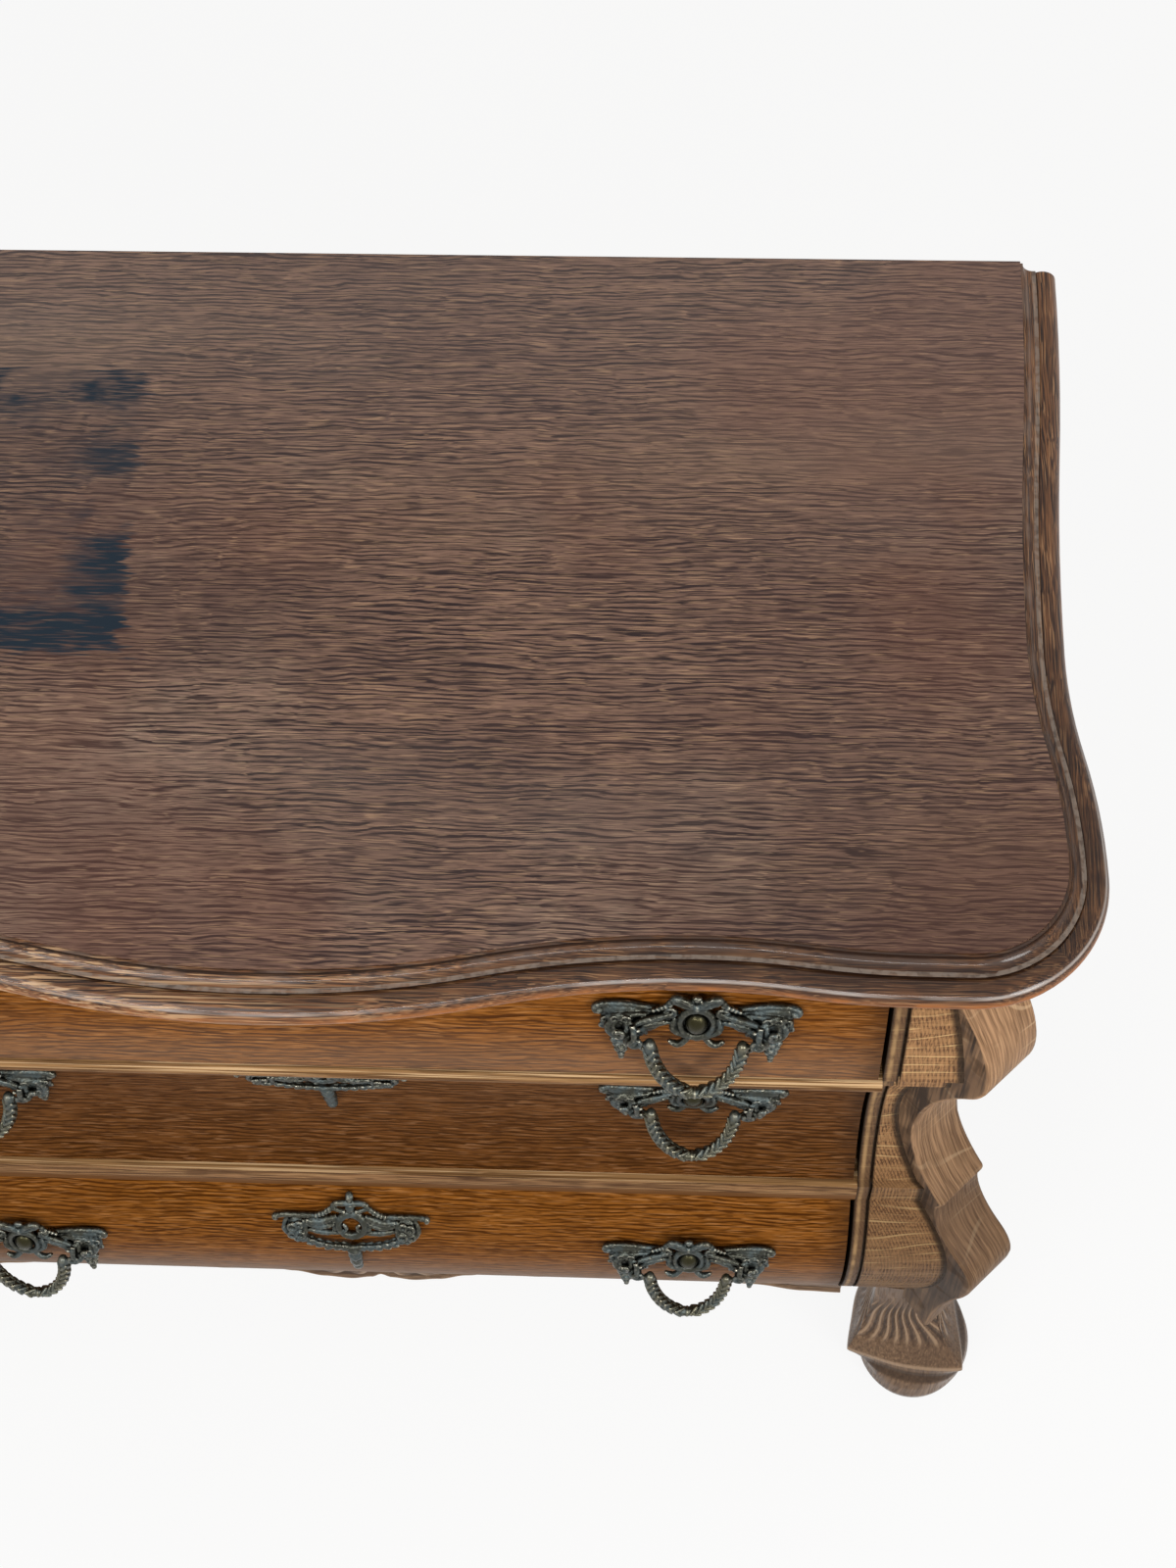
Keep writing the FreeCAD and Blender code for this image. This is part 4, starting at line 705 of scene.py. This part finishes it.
# One escutcheon: key ring under a bow, wings with beads, a laurel swag and an acorn drop
keyShape = {
    "tubes": {  # across, up, out and thickness along each
        "bow": [(0, 22, 6, 2.0), (6, 22.8, 6, 1.9), (12.5, 21, 5.5, 1.8), (14, 18, 5, 1.6), (9, 15.5, 5, 1.5),
                (4, 14.5, 5.5, 1.4)],
        "rail": [(27, 9.5, 4.5, 1.5), (38, 11, 5.5, 1.9), (52, 10.5, 5, 1.8), (57.5, 8, 4.5, 1.9),
                 (57, 4.5, 4, 1.3)],
        "upperLeaf": [(11, 8, 3.5, 1.6), (19, 7, 5.5, 2.8), (27, 5.5, 6.5, 2.6), (34, 6.5, 6, 1.6)],
        "middleLeaf": [(12, 1, 3.5, 1.4), (20, 1, 6, 2.2), (27, 2, 6.5, 2.2), (33, 3, 6, 1.4)],
        "lowerLeaf": [(9, -8, 4, 1.6), (18, -7, 5, 2.2), (27, -4.5, 5.5, 2.2), (34, -3, 5.5, 1.5)],
        "wingEdge": [(48, 9, 5, 1.5), (51.5, 2, 6, 2.0), (50.5, -5, 6, 2.0), (46.5, -12, 5.5, 1.4)],
        "wingLock": [(36, 7, 5.5, 1.4), (34.5, 0, 7, 2.0), (35.5, -8, 7, 2.0), (38.5, -14, 6, 1.5)],
        "swag": [(38, -12, 5, 1.8), (29, -18, 5.5, 2.0), (17, -22.5, 6, 2.2), (0, -23, 6.5, 2.2)],
        "innerScroll": [(9, -9, 4, 1.5), (4.5, -5, 4.5, 1.7), (4, -0.5, 4.5, 1.5), (6.5, 1.5, 4.5, 1.0)],
    },
    "closed": (),
    "beads": [  # place, half sizes and turn of each
        (15.5, 16.5, 5.5, 2.0, 2.0, 2.0), (18, 14.8, 5.5, 2.0, 2.0, 2.0), (20.6, 13.2, 5.5, 1.9, 1.9, 1.9),
        (23.2, 11.8, 5.5, 1.8, 1.8, 1.8), (25.8, 10.6, 5.5, 1.7, 1.7, 1.7), (57.5, 8.5, 5, 2.6, 2.6, 2.6),
        (41.5, -3, 3.5, 9.0, 11.5, 5.5), (24, 4, 2, 14, 5, 2.6, -4), (12.8, 6, 3.5, 3.0, 3.0, 2.6),
        (12.6, -3, 3.5, 2.6, 3.4, 2.4), (2.6, -28, 7, 2.4, 2.2, 2.4),
    ],
    "drop": [((0, -26, 6), (5.6, 3.6, 4.6)), ((0, -34, 6.2), (5.4, 8, 4.6)), ((0, -44, 6), (5.0, 10, 4.4)),
             ((0, -55, 5.6), (4.2, 8.5, 3.8))],
    "ring": ((0, 0, 4), 10.0, 2.7, 1.15),
    "middle": [((0, 27, 5.5), (3.2, 3.2, 3.2)), ((0, 18, 5), (3.6, 4.0, 2.8))],
    "curls": [
        ((44.5, 2.5, 8.5), 3.0, 1.2), ((38.8, -5, 9.0), 3.0, 1.2), ((45.5, -6.5, 8.0), 2.6, 1.2),
        ((39.5, 4, 8.0), 2.4, 1.2), ((41.5, -12, 7.0), 2.4, 1.2),
    ],
}
# One bail: its path, then the leaf ribs round its core, then the beads at its tip and its two eyes
bailShape = {
    "half": 29, "drop": 53, "power": 1.06, "core": 3.9, "steps": 15, "lean": 12.0,
    "stations": 9, "around": 6, "rib": (4.8, 1.4, 1.3), "ring": 3.8, "slant": 36.0,
    "tip": [(0, (2.3, 4.4, 4.4)), (-3.4, (1.7, 4.1, 4.1)), (3.4, (1.7, 4.1, 4.1))],
    "eye": [((0, 0), (3.6, 3.9, 3.9)), ((0, -5), (3.8, 1.5, 3.8)), ((2.5, 0), (2.4, 2.2, 2.2))],
}
# Laurel leaves of the escutcheon's swag: half sizes, how far aside and out they sit, their slant and their stem
swagLeaf = {
    "size": (4.6, 1.8, 1.6), "aside": 1.3, "flare": 0.30, "out": 5.5, "lift": 0.9, "tilt": 10.0,
    "stem": [(36, -13.5), (30.5, -17.3), (24.5, -20.2), (18, -22.2), (11, -23), (5, -23.2), (0, -23)],
}


def leafPair(x, z, heading):  # laurel leaves round a stem that runs that way, tips to its start
    made = []
    aside = Vector((-math.sin(heading), math.cos(heading)))
    for side in (-1, 1):
        shift = aside * side * swagLeaf["aside"]
        turn = -math.degrees(heading - side * swagLeaf["flare"])
        for face in (-1, 1):
            spot = (x + shift.x, z + shift.y, swagLeaf["out"] + face * swagLeaf["lift"])
            made.append(bead(spot, swagLeaf["size"], turn, face * swagLeaf["tilt"]))
    return made


def leafRibs(x, z, heading):  # raised leaf edges that zigzag round the bail
    made = []
    ahead = Vector((math.cos(heading), 0, math.sin(heading)))
    aside = Vector((-math.sin(heading), 0, math.cos(heading)))
    out = Vector((0, -1, 0))
    for i in range(bailShape["around"]):
        turn = math.tau * (i + 0.5) / bailShape["around"]
        radial = aside * math.cos(turn) + out * math.sin(turn)
        circling = out * math.cos(turn) - aside * math.sin(turn)
        slant = math.radians(bailShape["slant"]) * (1 if i % 2 else -1)
        along = ahead * math.cos(slant) + circling * math.sin(slant)
        rib = bead((x, z, 0), bailShape["rib"])
        rib.location += radial * bailShape["ring"] * mm
        rib.rotation_euler = Matrix((along, radial, along.cross(radial))).transposed().to_euler()
        made.append(rib)
    return made


def bailParts():
    half, drop, steps, stations = (bailShape[k] for k in ("half", "drop", "steps", "stations"))
    line = []
    for i in range(-steps, steps + 1):  # nearly straight sides that run to a round tip
        turn = math.radians(90 * i / steps)
        side = math.copysign(abs(math.sin(turn)) ** bailShape["power"], turn)
        line.append((half * side, -drop * abs(math.cos(turn)) ** bailShape["power"]))
    made = [tube([(x, z, 0) for x, z in line], [bailShape["core"]] * len(line))]
    line = line[steps:]  # from the tip up one side
    ways = [0.0]
    for (x0, z0), (x1, z1) in zip(line, line[1:]):
        ways.append(ways[-1] + math.hypot(x1 - x0, z1 - z0))
    for i in range(1, stations):
        way = ways[-1] * i / stations
        k = max(j for j in range(steps) if ways[j] <= way)
        part = (way - ways[k]) / (ways[k + 1] - ways[k])
        (x0, z0), (x1, z1) = line[k], line[k + 1]
        x, z, angle = x0 + (x1 - x0) * part, z0 + (z1 - z0) * part, math.atan2(z1 - z0, x1 - x0)
        made += leafRibs(x, z, angle)
        made += leafRibs(-x, z, math.pi - angle)
    made += [bead((x, -drop, 0), radii) for x, radii in bailShape["tip"]]
    for side in (-1, 1):
        made += [bead((side * (half + x), z, 0), radii) for (x, z), radii in bailShape["eye"]]
    return made


def swagLeaves():
    made = []
    stem = [Vector(spot) for spot in swagLeaf["stem"]]
    for side in (-1, 1):
        for spot, after in zip(stem, stem[1:]):
            way = after - spot
            made += leafPair(spot.x * side, spot.y, math.atan2(way.y, way.x * side))
    return made


def centreParts(shape):  # the ring, what sits on the middle line, and the curls either side
    made = [hoop(*shape["ring"])] + [bead(spot, radii) for spot, radii in shape["middle"]]
    for (x, z, out), radius, thick in shape["curls"]:
        made += [hoop((x, z, out), radius, thick), hoop((-x, z, out), radius, thick)]
    return made


def makeBoss():
    boss = bead(*plateShape["boss"])
    clear()
    boss.select_set(True)
    bpy.context.view_layer.objects.active = boss
    bpy.ops.object.transform_apply(location=True, rotation=True, scale=True)
    bpy.ops.object.shade_smooth()
    paint(boss, bossBrass)
    return boss


def makeMetal():
    plate = cast("plate", bothSides(plateShape) + centreParts(plateShape), agedBronze)
    makeBoss().select_set(True)
    plate.select_set(True)
    bpy.context.view_layer.objects.active = plate
    bpy.ops.object.join()
    bail = cast("bail", bailParts(), rubbedGlintBronze)
    keyParts = bothSides(keyShape) + swagLeaves() + [bead(spot, radii) for spot, radii in keyShape["drop"]]
    key = cast("key", keyParts + centreParts(keyShape), agedBronze)
    for drawer, level in mounts.items():
        for side, sign in (("left", -1), ("right", 1)):
            pivot = Vector(level["pivot"])
            pivot.x *= sign
            made = copyTo(plate, f"plate_{drawer}_{side}", faceFrame(drawer, pivot.x, level["rosette"]))
            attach(made, f"drawer_{drawer}")
            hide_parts(f"handle_plates_{drawer}")
            lean = Matrix.Translation(pivot) @ Matrix.Rotation(-math.radians(bailShape["lean"]), 4, "X")
            made = copyTo(bail, f"pull_{drawer}_{side}", lean)
            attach(made, f"bail_{drawer}_{side}")
            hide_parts(f"bail_{drawer}_{side}")
        made = copyTo(key, f"keyplate_{drawer}", Matrix.Identity(4))
        for corner in made.data.vertices:  # the thin plate follows the curve of the face
            high = level["key"] + corner.co.z * 0.99
            corner.co = (corner.co.x, faceAt(drawer, high) + corner.co.y, high)
        made.data.update()
        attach(made, f"drawer_{drawer}")
        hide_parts(f"escutcheon_{drawer}")
    for master in (plate, bail, key, ballMaster):
        bpy.data.objects.remove(master)


# Heights of the rosettes and keyholes, and where the right bail's pins are, in metres
mounts = {
    "top": {"rosette": 0.717, "key": 0.770, "pivot": (0.255, -0.2295676, 0.708)},
    "middle": {"rosette": 0.543, "key": 0.571, "pivot": (0.255, -0.2087592, 0.534)},
    "bottom": {"rosette": 0.335, "key": 0.364, "pivot": (0.255, -0.2605827, 0.326)},
}
clear()
makeMetal()
print("handles, bails and escutcheons cast")


def ramp(value, low, high):  # 0 at low, 1 at high, straight between
    return max(0.0, min(1.0, (value - low) / (high - low)))


def hump(value, middle, width):  # 1 at its middle, soft to either side
    return math.exp(-((value - middle) / width) ** 2)


def editAll():  # into edit mode with everything selected
    bpy.ops.object.mode_set(mode="EDIT")
    bpy.ops.mesh.select_all(action="SELECT")


# Front feet, from the sole up: height, offset, reach, half width and back along the diagonal in
# millimetres, and how square the ring is (1 a kite, 2 an oval); fluted is where the flutes begin, are
# full, fade and end
footShape = {
    "corner": (466.0, -226.5), "around": 336, "levels": 110, "sharp": 50, "inset": 1.6,
    "rings": [
        (0, -13, 42, 44, 42, 2.1), (4, -13, 46, 48, 46, 2.1), (14, -13, 47, 50, 48, 2.1), (30, -14, 48, 50, 48, 1.95),
        (40, -18, 53, 51, 46, 1.7), (48, -29, 63, 53, 42, 1.42), (54, -38, 75, 58, 39, 1.24),
        (60, -42, 82, 62, 37, 1.16), (66, -42, 81, 61, 36, 1.14), (73, -42, 72, 57, 34, 1.14),
        (85, -42.5, 61, 51, 31, 1.14), (105, -43, 51, 45, 28, 1.15), (125, -43, 45, 41, 26, 1.16),
        (160, -43, 42, 38.5, 25, 1.16), (196, -43, 42, 38.5, 25, 1.16),
    ],
    "flutes": 26, "depth": 2.3, "sway": 0.085, "swayLength": 80, "fan": 0.75, "fanLevels": (84, 174),
    # lip and waist: height and width of a painted highlight on the rim and of painted shade under it
    "fluted": (74, 90, 138, 172), "lipHighlight": (63, 4), "waist": (47, 7), "lumps": (58, 22), "lumpSize": 1.6,
}


def ringAt(height):
    rings = footShape["rings"]
    for low, high in zip(rings, rings[1:]):
        if height <= high[0]:
            part = (height - low[0]) / (high[0] - low[0])
            return [a + (b - a) * part for a, b in zip(low, high)]
    return rings[-1]


def makeFoot(side, sign):
    clear()
    around, levels = footShape["around"], footShape["levels"]
    bpy.ops.mesh.primitive_grid_add(x_subdivisions=around, y_subdivisions=levels, size=2)
    foot = bpy.context.object
    foot.name = f"carved_foot_{side}"
    tall = footShape["rings"][-1][0]
    begin, full, fade, end = footShape["fluted"]
    fanLow, fanHigh = footShape["fanLevels"]
    carve = foot.data.attributes.new("carve", "FLOAT", "POINT")
    for corner, carved in zip(foot.data.vertices, carve.data):
        turn = math.pi * (corner.co.x + 1)
        height = tall * (corner.co.y + 1) / 2
        shift, reach, wide, back, square = ringAt(height)[1:]
        ahead, aside = math.cos(turn), math.sin(turn)
        span = (abs(ahead) / (reach if ahead > 0 else back)) ** square + (abs(aside) / wide) ** square
        band = ramp(height, begin, full) * ramp(height, end, fade)
        face = (round(turn / (math.pi / 2) - 0.5) + 0.5) * math.pi / 2  # middle of the side it is on
        wave = math.sin((height - begin) / footShape["swayLength"] * math.tau)
        sway = footShape["sway"] * wave * math.copysign(1, aside)
        fan = 1 + footShape["fan"] * max(0.0, (height - fanLow) / (fanHigh - fanLow))
        ripple = math.cos(footShape["flutes"] * ((turn - face) * fan + sway))
        cut = footShape["depth"] * band * (0.5 + 0.5 * ripple)
        # the carve value paints shade in the flutes and under the rim, and a highlight on the flutes' crests and on
        # the rim
        carved.value = band * ripple - hump(height, *footShape["lipHighlight"]) + 1.3 * hump(height, *footShape["waist"])
        lumps = footShape["lumpSize"] * math.sin(3 * turn + height / 19) * hump(height, *footShape["lumps"])
        radius = span ** (-1 / square) - cut + lumps - footShape["inset"]
        ahead, aside = shift + radius * ahead, radius * aside
        x = footShape["corner"][0] + (ahead + aside) * math.sqrt(0.5)
        y = footShape["corner"][1] + (-ahead + aside) * math.sqrt(0.5)
        corner.co = (x * sign * mm, y * mm, height * mm)
    editAll()
    bpy.ops.mesh.remove_doubles(threshold=0.00002)
    bpy.ops.mesh.select_all(action="DESELECT")
    bpy.ops.mesh.select_non_manifold()
    bpy.ops.mesh.fill_holes(sides=0)
    bpy.ops.mesh.select_all(action="SELECT")
    bpy.ops.mesh.normals_make_consistent(inside=False)
    bpy.ops.object.mode_set(mode="OBJECT")
    soften = foot.modifiers.new("soften", "SMOOTH")
    soften.factor = 0.5
    soften.iterations = 1
    bpy.ops.object.modifier_apply(modifier="soften")
    bpy.ops.object.shade_smooth_by_angle(angle=math.radians(footShape["sharp"]))
    paint(foot, oakFoot)
    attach(foot, "carcase")
    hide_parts(f"front_foot_{side}")


# Carved apron under the base rail, in millimetres: the shell in the middle, a sweep of ribs either side of
# it, a bead along the lower edge with a hollow over it, and that edge from the middle out
apronShape = {
    "half": 383, "top": 195, "across": 320, "rows": 26, "sharp": 50, "relief": 3.4, "bead": (3.5, 2.6),
    "hollow": (9, 2.5), "clear": (7, 12), "ribs": 15, "shell": 80, "sweep": (190, 120), "sweepRib": 3.2,
    "edge": [(0, 163), (8, 155), (26, 149), (48, 154), (72, 166), (92, 172), (112, 169), (132, 168), (152, 173),
             (205, 181), (262, 176), (310, 165), (352, 151), (383, 148)],
}


def apronEdge(x):  # the scalloped lower edge
    for (x0, z0), (x1, z1) in zip(apronShape["edge"], apronShape["edge"][1:]):
        if abs(x) <= x1:
            part = (abs(x) - x0) / (x1 - x0)
            return z0 + (z1 - z0) * (3 - 2 * part) * part * part
    return apronShape["edge"][-1][1]


def makeApron():
    clear()
    low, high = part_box("front_apron")
    bpy.ops.mesh.primitive_grid_add(x_subdivisions=apronShape["across"], y_subdivisions=apronShape["rows"], size=2)
    apron = bpy.context.object
    apron.name = "carved_apron"
    carve = apron.data.attributes.new("carve", "FLOAT", "POINT")
    top, half = apronShape["top"], apronShape["half"]
    middle, reach = apronShape["sweep"]
    for corner, carved in zip(apron.data.vertices, carve.data):
        x, edge = half * corner.co.x, apronEdge(half * corner.co.x)
        z = edge + (top - edge) * (corner.co.y + 1) / 2
        field = ramp(z - edge, *apronShape["clear"])
        fan = math.atan2(abs(x), top + 6 - z)
        shell = max(0.0, 1 - (abs(x) / apronShape["shell"]) ** 2) * field
        sweep = max(0.0, 1 - abs(abs(x) - middle) / reach) * field
        ribs = shell * math.cos(apronShape["ribs"] * fan)
        ribs += 0.8 * sweep * math.cos((z - edge) / apronShape["sweepRib"] + x * 0.02)
        # the carve value also gives painted shade in the hollows and a painted highlight on the bead and ribs
        rim = -0.8 * hump(z - edge, *apronShape["bead"]) + 0.9 * hump(z - edge, *apronShape["hollow"])
        carved.value = max(-1.0, min(1.0, rim - ribs))
        corner.co = (x * mm, low.y + apronShape["relief"] * (0.5 + 0.5 * carved.value) * mm, z * mm)
    editAll()
    bpy.ops.mesh.extrude_region_move(TRANSFORM_OT_translate={"value": (0, 0.015, 0)})
    bpy.ops.object.mode_set(mode="OBJECT")
    for corner in apron.data.vertices:  # the back is flat
        if corner.select:
            corner.co.y = high.y
    editAll()
    bpy.ops.mesh.normals_make_consistent(inside=False)
    bpy.ops.object.mode_set(mode="OBJECT")
    bpy.ops.object.shade_smooth_by_angle(angle=math.radians(apronShape["sharp"]))
    paint(apron, oakApron)
    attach(apron, "carcase")
    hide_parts("front_apron")


easedPosts = {"round": 3.2, "steps": 3, "sharp": 35, "smooth": 30}


def easePost(side):  # the post's board with its edges rounded over
    clear()
    post = bpy.data.objects.new(f"eased_post_{side}", nodes[f"post_{side}"].data.copy())
    bpy.context.collection.objects.link(post)
    post.select_set(True)
    bpy.context.view_layer.objects.active = post
    editAll()
    bpy.ops.mesh.remove_doubles(threshold=0.00001)
    bpy.ops.mesh.dissolve_limited(angle_limit=math.radians(0.5))
    bpy.ops.object.mode_set(mode="OBJECT")
    ease = post.modifiers.new("ease", "BEVEL")
    ease.limit_method = "ANGLE"
    ease.angle_limit = math.radians(easedPosts["sharp"])
    ease.width = easedPosts["round"] * mm
    ease.segments = easedPosts["steps"]
    bpy.ops.object.modifier_apply(modifier="ease")
    bpy.ops.object.shade_smooth_by_angle(angle=math.radians(easedPosts["smooth"]))
    paint(post, oakPosts[side])
    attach(post, "carcase")
    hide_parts(f"post_{side}")


makeApron()
easePost("left")
easePost("right")
makeFoot("left", -1)
makeFoot("right", 1)
print("front feet, posts and apron carved")


# Camera at the photograph's place: heading, pitch and roll in degrees, focal length in pixels of a frame
# whose long side is 1600
view = {
    "place": (0.2435, -0.8002, 2.0763), "heading": 4.776, "pitch": 61.0, "roll": 3.004, "focal": 2400.0,
    "longSide": 1600, "sensor": 36,
}


def setCamera():
    heading, pitch, roll = (math.radians(view[k]) for k in ("heading", "pitch", "roll"))
    ahead = Vector((-math.sin(heading) * math.cos(pitch), math.cos(heading) * math.cos(pitch), -math.sin(pitch)))
    right = Vector((math.cos(heading), math.sin(heading), 0))
    down = ahead.cross(right)
    across = right * math.cos(roll) + down * math.sin(roll)
    up = right * math.sin(roll) - down * math.cos(roll)
    bpy.ops.object.camera_add(location=view["place"])
    camera = bpy.context.object
    turn = Matrix((across, up, -ahead)).transposed()
    camera.rotation_euler = turn.to_euler()
    camera.data.lens = view["sensor"] * view["focal"] / view["longSide"]
    camera.data.clip_end = 50
    bpy.context.scene.camera = camera


# Lamps in metres and watts; a strip has a height of its own
lamps = {
    "keyLamp": {"place": (-1.2, -2.2, 3.2), "aim": (0, 0, 0.6), "size": 1.8, "power": 34},
    "stripLamp": {"place": (-0.25, -2.4, 2.15), "aim": (0, -0.27, 0.85), "size": 3.0, "power": 30, "tall": 0.09},
    "windowLamp": {"place": (2.1, -2.1, 1.8), "aim": (0.2, 0, 0.6), "size": 1.1, "power": 46},
}
studio = {
    "world": 0.6, "worldTone": (1, 0.985, 0.96), "floorGlow": 0.88, "floorTone": (0.62, 0.61, 0.59), "floorSize": 30,
    "floorLevel": -0.0005,
}


def areaLamp(name, place, aim, size, power, tall=None):
    bpy.ops.object.light_add(type="AREA", location=place)
    lamp = bpy.context.object
    lamp.name = name
    lamp.data.shape = "RECTANGLE" if tall else "DISK"
    lamp.data.size = size
    lamp.data.size_y = tall or size
    lamp.data.energy = power
    lamp.rotation_euler = (Vector(aim) - Vector(place)).to_track_quat("-Z", "Y").to_euler()


def plainRays(tree):  # 1 for rays that meet plain white: straight, mirrored or through glass
    path = tree.nodes.new("ShaderNodeLightPath")
    seen = Socket(tree, path.outputs["Is Camera Ray"])
    for ray in ("Is Glossy Ray", "Is Transmission Ray"):
        seen = seen.larger(Socket(tree, path.outputs[ray]))
    return seen


def setStudio():
    world = bpy.data.worlds.new("studioWhite")
    bpy.context.scene.world = world
    world.use_nodes = True
    world.node_tree.nodes.clear()
    seen = plainRays(world.node_tree)
    white = seen.node("ShaderNodeBackground", {}, {"Color": (1, 1, 1), "Strength": 1.0})
    soft = seen.node("ShaderNodeBackground", {}, {"Color": studio["worldTone"], "Strength": studio["world"]})
    both = seen.node("ShaderNodeMixShader", {}, {0: seen, 1: soft, 2: white})
    seen.node("ShaderNodeOutputWorld", {}, {"Surface": both})


def makeFloor():
    bpy.ops.mesh.primitive_plane_add(size=studio["floorSize"], location=(0, 0, studio["floorLevel"]))
    floor = bpy.context.object
    floor.name = "floor"
    material, point = newLook("paleFloor")[:2]
    seen = plainRays(point.tree)
    matt = point.node("ShaderNodeBsdfDiffuse", {}, {"Color": studio["floorTone"]})
    glow = point.node("ShaderNodeEmission", {}, {"Color": (1, 1, 1), "Strength": 1.0})
    mixed = point.node("ShaderNodeMixShader", {}, {0: seen * studio["floorGlow"], 1: matt, 2: glow})
    point.node("ShaderNodeOutputMaterial", {}, {"Surface": mixed})
    floor.data.materials.append(material)


bpy.context.scene.view_settings.view_transform = "Standard"
setCamera()
setStudio()
makeFloor()
for name, lamp in lamps.items():
    areaLamp(name, **lamp)
print("camera, lamps and floor set")
